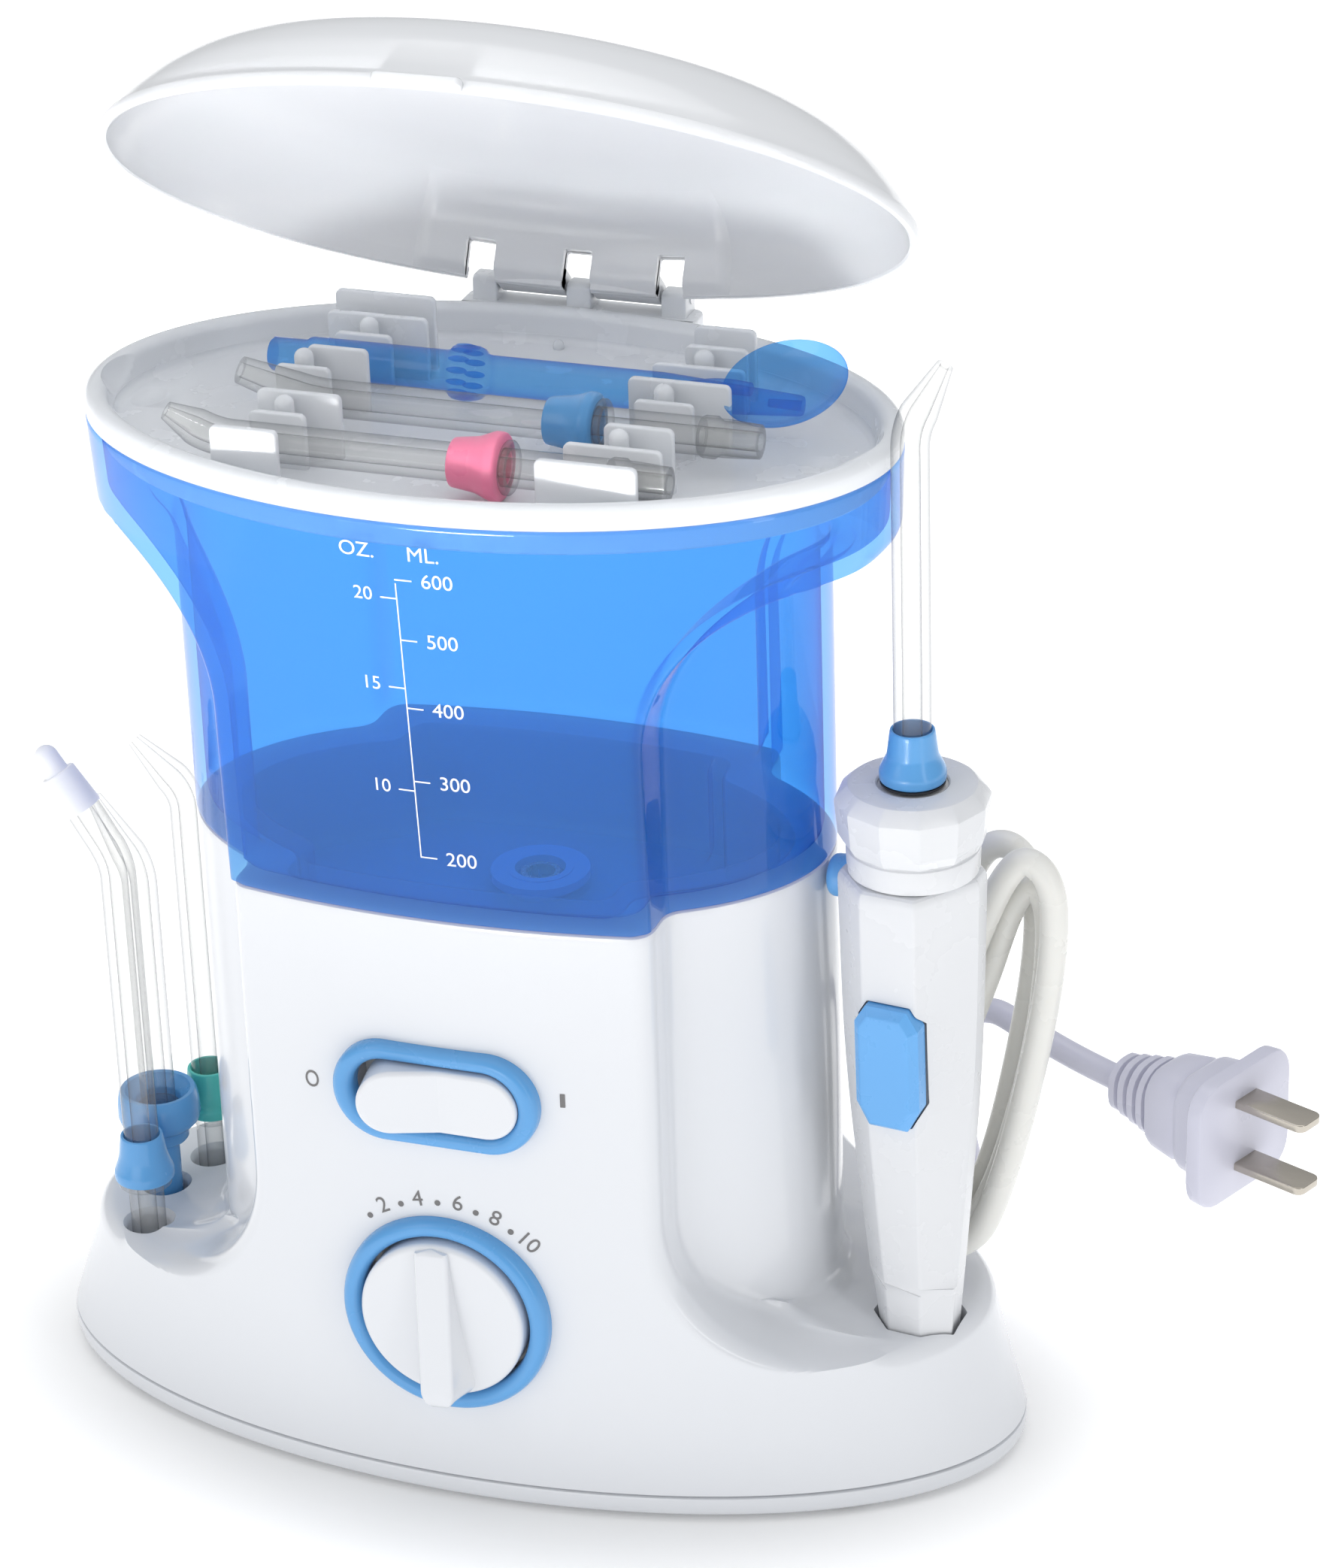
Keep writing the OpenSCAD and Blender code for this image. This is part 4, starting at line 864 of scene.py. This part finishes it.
shell = smooth_path(np.column_stack([LID_X, LID_Y, LID_H]), 8)
lid_outer = [oval_ring(*row[:2], LID_Z + row[2]) for row in
             np.vstack([[71.4, 45.1, 0.0], [71.8, 45.5, 0.1], [72.0, 45.7, 0.5], [72.0, 45.7, 1.7],
                        [71.8, 45.5, 2.1], shell])]
inner_rows = [[70.9, 44.6, 0.0], [70.5, 44.2, 0.25], [70.3, 44.0, 1.0]]
for x, y, h in shell[1:]:
    slope = 1.7 * (1 - h / 30)
    inner_rows.append([max(x - slope, 0.02), max(y - slope, 0.01), max(h - 1.7 * (h / 18.5) ** 2, 1.2)])
lid_inner = [oval_ring(x, y, LID_Z + h) for x, y, h in inner_rows]
lid_obj = Shape().add(*capped(lid_outer[::-1] + lid_inner), m=OPEN).object("lid_dome")

# Raised pad inside the rear of the lid, following its curve
pad_h = np.linspace(0.4, 15.2, 26)
px = np.interp(pad_h, [r[2] for r in inner_rows], [r[0] for r in inner_rows])
py = np.interp(pad_h, [r[2] for r in inner_rows], [r[1] for r in inner_rows])
half_pad = 29.5
front, back = [], []
us = np.linspace(-1, 1, 60)
for i, h in enumerate(pad_h):
    edge_h = min(1, (h - 0.4) / 1.5, (15.2 - h) / 3.5)
    xs = us * half_pad * (1 - 0.12 * (h / 15.2) ** 3)
    wall = py[i] * np.sqrt(np.maximum(0, 1 - (xs / px[i]) ** 2))
    edge_x = np.clip((1 - np.abs(us)) / 0.07, 0, 1)
    lift = 1.1 * ease(np.minimum(edge_x, max(0.0, edge_h)))
    front.append(np.column_stack([xs, wall - lift, np.full(60, LID_Z + h) - 0.35 * lift * (h / 15)]))
    back.append(np.column_stack([xs, wall + 0.6, np.full(60, LID_Z + h)]))
loops = [np.vstack([a, b[::-1]]) for a, b in zip(front, back)]
pad_obj = Shape().add(*capped(loops), m=OPEN).object("lid_hinge_pad")
windows = []
for x in POSTS:
    out = box2(x - 2.65, LID_Z - 2, x + 2.65, LID_Z + 6.6, [0.1, 0.1, 0.5, 0.5])
    windows.append(Shape().add(*slab(out, -54, -36, 0.05), m=OPEN @ FRONT).mesh("cut"))
carve(lid_obj, *windows)
carve(pad_obj, *windows)
dress(lid_obj, LID_WHITE, "lid_body", "white_abs", ("lid",), 32)
dress(pad_obj, LID_WHITE, "lid_body", "white_abs", (), 32)
hardware = Shape()
for s in (-1, 1):
    c = s * 8.85
    web = rounded_outline([(43.3, LID_Z + 0.1), (48.3, LID_Z + 0.1), (50.1, 198.0), (48.3, 199.85),
                           (43.3, 200.2)], [0.2, 1.5, 1.7, 1.7, 0.3], 6)
    hardware.add(*slab(web, c - 6.2, c + 6.2, 0.3), m=OPEN @ UP_X)
thumb = rounded_outline([(-8, -47.9), (8, -47.9), (7.4, -44.6), (-7.4, -44.6)], [1.4, 1.4, 0.2, 0.2], 6)
hardware.add(*slab(thumb, LID_Z + 0.02, LID_Z + 1.6, 0.4), m=OPEN)
hardware.piece("lid_knuckles", LID_WHITE, "lid_body", "white_abs")

# ---------------------------------------------------------------- tips

R_TUBE, R_BORE = 3.25, 1.75


def bent(straight, bend, end_len, x0=0.0, turn_len=7.0):
    """Points of a tube that rises along Z and then leans over by bend degrees."""
    pts = [np.array([0, 0, z]) for z in np.linspace(x0, straight - turn_len / 2, 14)]
    steps = 9
    at = pts[-1].copy()
    for k in range(steps):
        a = math.radians(bend) * (k + 1) / steps
        at = at + np.array([math.sin(a), 0, math.cos(a)]) * turn_len / steps
        pts.append(at.copy())
    a = math.radians(bend)
    for t in np.linspace(0, 1, 12)[1:]:
        pts.append(at + np.array([math.sin(a), 0, math.cos(a)]) * (end_len - turn_len / 2) * t)
    return np.array(pts)


def tip_tube(key, body, m, straight, bend, end_len, end_r, flange, start=0.0, tail=()):
    """A clear bent tube with a flange, and any profiles of its tail."""
    pts = bent(straight, bend, end_len, start)
    n = len(pts)
    r = np.full(n, R_TUBE)
    r[-12:] = np.linspace(R_TUBE * 0.98, end_r, 12)
    ri = np.minimum(np.full(n, R_BORE), r * 0.52)
    r[0] -= 0.35
    shape = Shape().add(*pipe(pts, r, ri), m=m)
    z, fr = flange
    collar_prof = [(R_TUBE - 0.02, z), (fr - 0.25, z), (fr, z + 0.25), (fr, z + 0.95), (fr - 0.25, z + 1.2),
                   (R_TUBE - 0.02, z + 1.2)]
    for prof in (collar_prof, *tail):
        shape.add(*torus_skin(lathe(prof, 56)), m=m)
    return shape.piece(key + "_clear", CLEAR, body, "clear_plastic", (key + "_tube",), 45)


def ring_piece(key, body, m, z, h, r0, r1, mat, slot):
    """The coloured band above a tip's flange."""
    b = R_TUBE + 0.08
    prof = [(b, 0), (r0 - 0.5, 0), (r0 - 0.1, 0.3), (r0, 0.9), (r0 - 0.02, h * 0.2), (r0 - 0.35, h * 0.3),
            (r1 + 0.62, h * 0.48), (r1 + 0.36, h * 0.62), (r1, h * 0.93), (r1 - 0.2, h), (b + 0.12, h),
                    (b, h - 0.4)]
    core = smooth_path([(r, 0, zz) for r, zz in prof[1:-1]], 4)
    full = [(b, prof[0][1])] + [(p[0], p[2]) for p in core] + [prof[-1]]
    rings = lathe([(max(r, b), zz + z) for r, zz in full], 72)
    return Shape().add(*torus_skin(rings), m=m).piece(key + "_band", mat, body, slot, (key + "_ring",), 50)


FOOT_Z = 14.1


def at_tip(key):
    x, y = TIPS[key]
    return place((x, y, FOOT_Z))


m = at_tip("front")
tip_tube("front_tip", "front_tip_body", m, 90.5, -31, 11, 3.2, (23.1, 4.9))
ring_piece("front_tip", "front_tip_body", m, 24.35, 9.2, 5.5, 4.0, SKY, "sky_plastic")
brush = m @ place((0, 0, 90.5), (0, -33, 0)) @ place((0.1, 0, 10.9))
prof = [(0.001, 0), (3.65, 0), (3.75, 0.3), (3.3, 7.7), (3.1, 8.0), (2.35, 8.05), (2.25, 8.4), (2.2, 11.4)] + [
    (2.2 * math.cos(a), 11.4 + 2.2 * math.sin(a)) for a in np.linspace(0.15, PI / 2 - 0.01, 8)]
Shape().add(*capped(lathe(prof, 48)), m=brush).piece("front_tip_nub", BRUSH, "front_tip_body", "brush_white",
        replaces=("front_tip_brush",))
m = at_tip("middle")
tip_tube("middle_tip", "middle_tip_body", m, 82, -30, 15, 1.5, (31, 4), 27.1)
cup = [(1.75, 0.1), (2.9, 0.1), (3.2, 0.5), (3.25, 24.6), (4.9, 25.0), (5.2, 25.4), (5.2, 27.8),
        (6.4, 28.1), (7.4, 29.2),
       (7.7, 30.4), (7.6, 33.2), (7.3, 34.9), (6.9, 35.5), (6.1, 35.4), (5.7, 34.6), (4.3, 33.6),
               (4.1, 33.0), (4.1, 27.05),
       (1.75, 27.0)]
Shape().add(*torus_skin(lathe(cup, 72)), m=m).piece("middle_tip_cup", SKY, "middle_tip_body", "sky_plastic",
        replaces=("middle_tip_ring",), sharp=42)
m = at_tip("rear")
tip_tube("rear_tip", "rear_tip_body", m, 92.5, -46, 12.8, 1.4, (23.6, 4.6))
ring_piece("rear_tip", "rear_tip_body", m, 24.85, 9.6, 5.0, 4.1, TEAL, "teal_plastic")

m = place((*WAND, 112))
tip_tube("fitted_tip", "rotator_body", m, 88.2, 27, 12.8, 1.45, (23.9, 4.6))
ring_piece("fitted_tip", "rotator_body", m, 24.3, 9.4, 5.75, 3.95, SKY, "sky_plastic")
Shape().add(*torus_skin(lathe([(3.4, 135.82), (5.5, 135.82), (5.62, 135.95), (5.62, 136.28),
        (3.4, 136.28)], 64)),
            m=place((*WAND, 0))).piece("fitted_tip_washer", NYLON, "rotator_body", "inner_plastic")


def tray_matrix(x, y):
    return place((x, y, 196.5), (0, -90, 0))


TAIL = [[(1.6, -0.1), (2.6, 0.0), (2.9, 0.4), (2.9, 6.5), (3.3, 7.2), (3.6, 7.6), (3.6, 9.6), (3.3, 10.2),
        (1.6, 10.2)]]
m = tray_matrix(51, -8.2)
tip_tube("blue_tray", "blue_tray_body", m, 80, 15, 13, 2.4, (27, 4.6), tail=TAIL)
ring_piece("blue_tray", "blue_tray_body", m, 28.45, 8.6, 5.5, 4.1, SKY, "sky_plastic")
m = tray_matrix(42.3, -29.2)
tip_tube("pink_tray", "pink_tray_body", m, 80, 24, 9, 1.6, (27, 4.6), tail=TAIL)
ring_piece("pink_tray", "pink_tray_body", m, 28.45, 8.8, 5.8, 4.2, PINK, "pink_plastic")

# Scraper: barrel, collar, nozzle and scoop
scr = Shape()
along = [(0.001, 0), (2.6, 0.0), (3.0, 0.5), (3.0, 6.5), (3.5, 7.2), (3.6, 7.8), (3.6, 32.2), (3.9, 33),
        (4.6, 33.6), (4.7, 34.6),
         (4.7, 37.8), (4.3, 38.8), (3.5, 39.5), (3.4, 40.5), (3.4, 71), (3.3, 73), (2.5, 85), (1.8, 95.4),
                 (1.6, 96), (0.9, 96),
         (0.7, 90), (0.001, 90)]
scr.add(*capped(lathe(along, 56)), m=place((-43, 8.6, 196.5), (0, 90, 0)))
for k in range(14):
    scr.add(*ellipsoid((0, 4.55, 35.6), (0.6, 0.45, 1.9), 12),
            m=place((-43, 8.6, 196.5), (0, 90, 0)) @ Matrix.Rotation(k * 2 * PI / 14, 4, "Z"))
rings = []
for share, z in ((0.02, 0.3), (0.35, 0.35), (0.7, 0.75), (0.9, 1.5), (0.985, 2.4), (1.0, 2.75),
        (0.985, 3.0), (0.95, 2.9),
                 (0.86, 2.2), (0.66, 1.45), (0.33, 1.05), (0.02, 1.0)):
    a = FEW[::5]
    rings.append(level(share * np.column_stack([11.2 * np.cos(a) + 0.8, 8.9 * np.sin(a)]), z))
scr.add(*capped(rings), m=place((50.6, 6.4, 199.4), (34, -8, 8)))
arm = smooth_path([(33, 9.4, 197.2), (37, 8.6, 198.4), (41, 7.2, 199.3), (44.5, 6.6, 199.4)], 8)
scr.add(*capped(sweep(arm, np.linspace(1.5, 1.2, len(arm)), 20)))
scr.piece("tongue_scraper", SCOOP, "scraper_body", "tank_blue", replaces=("scraper_tip",), sharp=45)

# ---------------------------------------------------------------- wand

WAND_Z = np.array([24.0, 29.0, 50.0, 74.0, 90.0, 119.5])
WAND_S = np.array([0.56, 0.595, 0.741, 0.893, 0.955, 1.0])
WAND_DY = np.array([1.9, 1.8, 1.0, 0.3, 0.0, 0.0])


WAND_ENDS = (WAND_Z[0], WAND_Z[-1])


def wand_scale(z):
    """Smooth width and offset along the wand."""
    k = ease(np.minimum((z - WAND_ENDS[0]) / 10, (WAND_ENDS[1] - z) / 10))
    out = []
    for values in (WAND_S, WAND_DY):
        near = np.mean([np.interp(np.clip(z + d, *WAND_ENDS), WAND_Z, values) for d in (-7, -3.5, 0, 3.5, 7)])
        out.append(np.interp(z, WAND_Z, values) * (1 - k) + near * k)
    return out


def clip_outline(corners, keep_low, y):
    out = []
    for i in range(len(corners)):
        p, q = corners[i - 1], corners[i]
        inside = (lambda c: c[1] <= y) if keep_low else (lambda c: c[1] >= y)
        if inside(p) != inside(q):
            t = (y - p[1]) / (q[1] - p[1])
            out.append(p + (q - p) * t)
        if inside(q):
            out.append(q)
    return np.array(out)


def wand_part(front, inset):
    rings = []
    levels = [(24.0, 0.8), (24.3, 0.25), (24.8, 0.0)] + [(z, 0.0) for z in np.linspace(27, 117.6, 60)]
    levels += [(118.4, 0.12), (119.0, 0.45), (119.35, 0.95), (119.45, 1.6)]
    for z, extra in levels:
        s, dy = wand_scale(z)
        r = (12.15 * s - inset - extra) / math.cos(PI / 8)
        o = octagon(r)
        cut = clip_outline(o, front, -1.0 - dy if front else -0.94 - dy)
        radius = [0.35 if abs(p[1] + 1.0 + dy) < 0.12 else 0.9 for p in cut]
        if not front:
            cut = clip_outline(cut, True, 9.9)
        o = rounded_outline(cut, 0.7 if not front else radius, 5)
        rings.append(level(o + [WAND[0], WAND[1] + dy], z))
    n = min(len(r) for r in rings)
    return [r[:n] for r in rings]


def wand_piece(name, front, inset, replaces, cuts):
    obj = Shape().add(*capped(wand_part(front, inset))).object(name)
    carve(obj, *cuts)
    return dress(obj, WAND_WHITE, "wand_body", "white_abs", replaces, 24)


BUTTON = np.array([(-3.6, -12), (3.6, -12), (5.9, -7.5), (5.9, 8.5), (3.8, 12), (-3.8, 12), (-5.9, 8.5),
        (-5.9, -7.5)])
btn_m = place((*WAND, 87), (2.4, 0, -6.5)) @ FRONT
pocket = Shape().add(*slab(rounded_outline(BUTTON * [1.045, 1.022], 0.5), 8.0, 16, 0.05), m=btn_m).mesh("cut")
rel_m = place((WAND[0], WAND[1] + 4.3, 113.9), (0, -90, 0))
rel_cut = Shape().add(*capped(lathe([(0.001, 5), (4.0, 5), (4.0, 18), (0.001, 18)], 48)), m=rel_m).mesh("cut")
wand_piece("wand_front", True, 0.0, ("wand_front_shell",), [pocket])
wand_piece("wand_back", False, 0.45, ("wand_back_shell",), [rel_cut])

outline = rounded_outline(BUTTON, 0.45)
rings = [level(outline, 9.5), level(outline, 12.2)]
for d, z in ((0.0, 12.4), (0.07, 12.55), (0.25, 12.65), (1.15, 13.85), (1.35, 14.0), (1.7, 14.08), (2.6, 14.1)):
    rings.append(level(rounded_outline(inset_corners(BUTTON, d), max(0.08, 0.45 - 0.2 * d)), z))
Shape().add(*capped(rings), m=btn_m).piece("pause_key", BUTTON_SKY, "pause_button_body", "sky_plastic",
                                           replaces=("pause_button",), sharp=28)
prof = [(0.001, 7.6), (3.8, 7.6), (3.8, 14.6)] + [(3.8 - 1.6 * (1 - math.cos(a)), 14.7 + 1.6 * math.sin(a))
                                                 for a in np.linspace(0, PI / 2, 8)] + [(0.001, 16.3)]
Shape().add(*capped(lathe(prof, 56)), m=rel_m).piece("release_key", BUTTON_SKY, "release_button_body",
        "sky_plastic",
        replaces=("release_button",))

# Collar: round below, twelve flats above
collar = []
a = np.arange(240) * 2 * PI / 240
period = PI / 6
flat = math.cos(period / 2) / np.cos((a + math.radians(9)) % period - period / 2)
for z, r, poly in ((110.6, 4.9, 0), (119.62, 4.9, 0), (119.64, 10.9, 0), (119.8, 11.3, 0),
        (120.2, 11.42, 0), (123.6, 11.6, 0),
                   (124.1, 11.5, 0), (124.3, 11.2, 0), (124.5, 11.3, 0.6), (124.9, 11.9, 1),
                           (126.4, 12.75, 1), (126.7, 12.9, 1),
                   (132.6, 13.45, 1), (133.2, 13.4, 1), (133.8, 13.05, 0.9), (135.2, 11.7, 0.4),
                   (135.65, 11.1, 0.12), (135.8, 10.5, 0), (135.8, 6.4, 0), (135.6, 6.1, 0),
                           (135.3, 6.0, 0), (135.3, 3.4, 0),
                   (112, 3.4, 0)):
    rr = r * (1 - poly + poly * flat)
    collar.append(np.column_stack([WAND[0] + rr * np.cos(a), WAND[1] + rr * np.sin(a), np.full(240, z)]))
Shape().add(*torus_skin(collar)).piece("tip_rotator", WAND_WHITE, "rotator_body", "white_abs",
                                       replaces=("rotator_collar",), sharp=17)

# ---------------------------------------------------------------- hose, cord and plug

HOSE_PATH = [
    (70, 20, 30), (70.1, 20.2, 44), (71.5, 20.6, 72), (75, 20.6, 96), (80, 20.4, 109.5),
    (84.8, 20.2, 113), (89, 20, 109.6), (90.8, 19.8, 101), (90.2, 19.4, 88), (87.4, 18.8, 70),
    (84, 18.2, 54), (80.5, 17.6, 43.5), (77, 16.8, 40), (74.8, 16, 45), (75, 15.6, 57), (78, 15.4, 74),
    (82.8, 15.4, 89), (87, 15.4, 102.4), (90.8, 15.3, 108), (93.6, 15.2, 105), (94.2, 15, 96),
    (92.6, 14.6, 80), (89, 14, 62), (84.6, 13.2, 47), (80.2, 12.2, 39.4), (76.6, 11.4, 41),
    (75.2, 10.8, 52), (75.8, 10.7, 69), (79, 10.7, 88), (83.2, 10.8, 101.5), (87.6, 10.9, 111.6),
    (91.2, 10.9, 115), (94.7, 10.9, 112.4), (96.2, 10.9, 105.5), (95.4, 10.8, 92), (92.4, 10.6, 74),
    (88.4, 10.4, 56), (84, 10.2, 42), (80, 9.9, 37), (77, 9.3, 37), (75.6, 8.2, 39), (75.5, 6.6, 40)]
pts = smooth_path(HOSE_PATH, 12)
hose = Shape().add(*capped(sweep(pts, 2.5, 28))).object("water_hose_loops")
hose.data.materials.append(HOSE)
hose.data.polygons.foreach_set("use_smooth", [True] * len(hose.data.polygons))
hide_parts("water_hose")
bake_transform(hose)

CORD_PATH = [(60.6, 33, 15), (66, 36.8, 15), (71, 41, 16), (72.5, 46.5, 21), (68.5, 50, 36), (67.5, 49, 52),
             (70.5, 47.2, 62), (76, 45.2, 65), (83, 42.6, 63.6), (93, 38.9, 61.4), (102.9, 35.2, 60),
                     (109.7, 32.3, 60)]
pts = smooth_path(CORD_PATH, 12)
Shape().add(*capped(sweep(pts, 2.4, 28))).piece("mains_cord", CORD, "base_body", "cord_lavender",
        replaces=("power_cord",))
PLUG = place((128, 24.2, 60), (0, 0, -24)) @ place((0, 0, 0), (0, 90, 0))


def box_ring(w, h, r, z, n=6):
    return level(box2(-w / 2, -h / 2, w / 2, h / 2, r, n), z)


plug = []
for k in range(4):
    z = -27.5 + 2.5 * k
    w, h = 10.4 + 1.2 * k, 9.8 + 1.1 * k
    small, full = (w * 0.8, h * 0.8, w * 0.34), (w, h, w * 0.4)
    plug += [box_ring(*small, z), box_ring(*full, z + 0.35), box_ring(*full, z + 1.6), box_ring(*small, z + 1.95)]
for w, h, r, z in ((12.4, 11.6, 4.4, -17.5), (15.4, 14.4, 4.8, -17.1), (16.4, 15.2, 4.9, -16.0),
        (17.5, 16.4, 5.0, -11.6),
                   (16.9, 15.8, 4.8, -11.0), (16.4, 15.4, 4.6, -10.2), (18.6, 16.6, 4.8, -9.6),
                           (19.2, 17.2, 4.8, -8.8),
                   (19.8, 18.6, 5.0, -3.9), (23.6, 25.4, 5.4, -3.5), (24.6, 26.4, 5.6, -3.0),
                           (24.8, 26.6, 5.6, -0.7),
                   (24.4, 26.2, 5.5, -0.2), (23.6, 25.4, 5.3, 0.0), (12, 12, 2.4, 0.0), (0.1, 0.1, 0.02, 0.0)):
    plug.append(box_ring(w, h, r, z))
Shape().add(*capped(plug), m=PLUG).piece("mains_plug", CORD, "base_body", "cord_lavender",
        replaces=("plug_body",),
                                         sharp=40)
blades = Shape()
for x in (-6.35, 6.35):
    blades.add(*slab(box2(-3.15, -6.9, 3.15, 14.5, [0.1, 0.1, 1.6, 1.6], 6), -0.75, 0.75, 0.22),
               m=PLUG @ place((x, 0, 0)) @ UP_X)
blades.piece("plug_pins", NICKEL, "base_body", "nickel", replaces=("plug_blades",), sharp=40)

# ---------------------------------------------------------------- studio

# The floor emits light: painted light that keeps it white, weaker close to the object so that a painted shadow lies
# round the base.
floor_mat, nt = new_mat("studio_floor_emission_painted_shadow")
coord = node(nt, "ShaderNodeTexCoord").outputs["Object"]
squeeze = node(nt, "ShaderNodeVectorMath", operation="MULTIPLY")
nt.links.new(coord, squeeze.inputs[0])
squeeze.inputs[1].default_value = (0.6, 1, 1)
away = node(nt, "ShaderNodeVectorMath", operation="LENGTH")
nt.links.new(squeeze.outputs[0], away.inputs[0])
# Emission strength, lowest near the object: a painted shadow under it and painted light further out.
floor_emission_painted_shadow = map_range(nt, away.outputs["Value"], (0.045, 0.09), (0.1, 0.7), interpolation_type="SMOOTHSTEP")
p = node(nt, "ShaderNodeBsdfPrincipled", Roughness=0.7, Emission_Color=(1, 1, 1, 1), Emission_Strength=floor_emission_painted_shadow,
         Base_Color=two_tone(nt, noise(nt, 3, 2), (0.84, 0.84, 0.84), (0.86, 0.86, 0.86)))
node(nt, "ShaderNodeOutputMaterial", Surface=p.outputs["BSDF"])
FLOOR_HALF = 4000
corners = [(-FLOOR_HALF, -FLOOR_HALF, 0), (FLOOR_HALF, -FLOOR_HALF, 0), (FLOOR_HALF, FLOOR_HALF, 0),
           (-FLOOR_HALF, FLOOR_HALF, 0)]
floor = Shape().add(corners, [(0, 1, 2, 3)]).object("floor")
floor.data.materials.append(floor_mat)

world = bpy.data.worlds.new("studio")
world.use_nodes = True
scene.world = world
nt = world.node_tree
coord = nt.nodes.new("ShaderNodeTexCoord")
split = nt.nodes.new("ShaderNodeSeparateXYZ")
nt.links.new(coord.outputs["Generated"], split.inputs[0])
sky = map_range(nt, split.outputs["Z"], (-0.1, 0.9), (0.40, 0.74), interpolation_type="SMOOTHSTEP")
nt.links.new(sky, nt.nodes["Background"].inputs["Strength"])
nt.nodes["Background"].inputs["Color"].default_value = (0.97, 0.985, 1.0, 1)


def area(name, at, target, size_x, size_y, power, spread_deg=180):
    lamp = bpy.data.lights.new(name, "AREA")
    lamp.shape, lamp.size, lamp.size_y, lamp.energy = "RECTANGLE", size_x, size_y, power
    ob = bpy.data.objects.new(name, lamp)
    ob.location = at
    ob.rotation_euler = (Vector(target) - Vector(at)).to_track_quat("-Z", "Y").to_euler()
    lamp.spread = math.radians(spread_deg)
    scene.collection.objects.link(ob)


area("key_left", (-0.7, -0.85, 0.75), (0, 0, 0.1), 0.5, 0.8, 1.5)
area("top", (0.0, 0.1, 1.1), (0, 0, 0.1), 0.9, 0.7, 2.7)
area("front_fill", (-0.2, -1.0, 0.1), (0, 0.02, 0.2), 0.7, 0.3, 1.1)
area("right_strip", (0.8, -0.45, 0.3), (0, 0, 0.1), 0.12, 0.9, 1.0)
area("lid_fill", (-0.12, -0.75, 0.05), (0, 0.02, 0.27), 0.3, 0.06, 0.12, 26)

YAW, PITCH, ROLL = math.radians(18.85), math.radians(26.54), math.radians(-1.53)
fw = Vector((-math.sin(YAW) * math.cos(PITCH), math.cos(YAW) * math.cos(PITCH), -math.sin(PITCH)))
rt = Vector((math.cos(YAW), math.sin(YAW), 0))
up = rt.cross(fw)
right = rt * math.cos(ROLL) + up * math.sin(ROLL)
upward = -rt * math.sin(ROLL) + up * math.cos(ROLL)
cam = bpy.data.cameras.new("photo_camera")
cam.sensor_width = 36
cam.lens = 113.28
cam.shift_x, cam.shift_y = -0.0455, 0.0147
cam.clip_end = 20
cam_ob = bpy.data.objects.new("photo_camera", cam)
rows = [(right[i], upward[i], -fw[i], at) for i, at in enumerate((0.28842, -0.72203, 0.50532))]
cam_ob.matrix_world = Matrix((*rows, (0, 0, 0, 1)))
scene.collection.objects.link(cam_ob)
scene.camera = cam_ob
scene.view_settings.view_transform = "Standard"
scene.cycles.transparent_max_bounces = 32

bpy.context.view_layer.update()
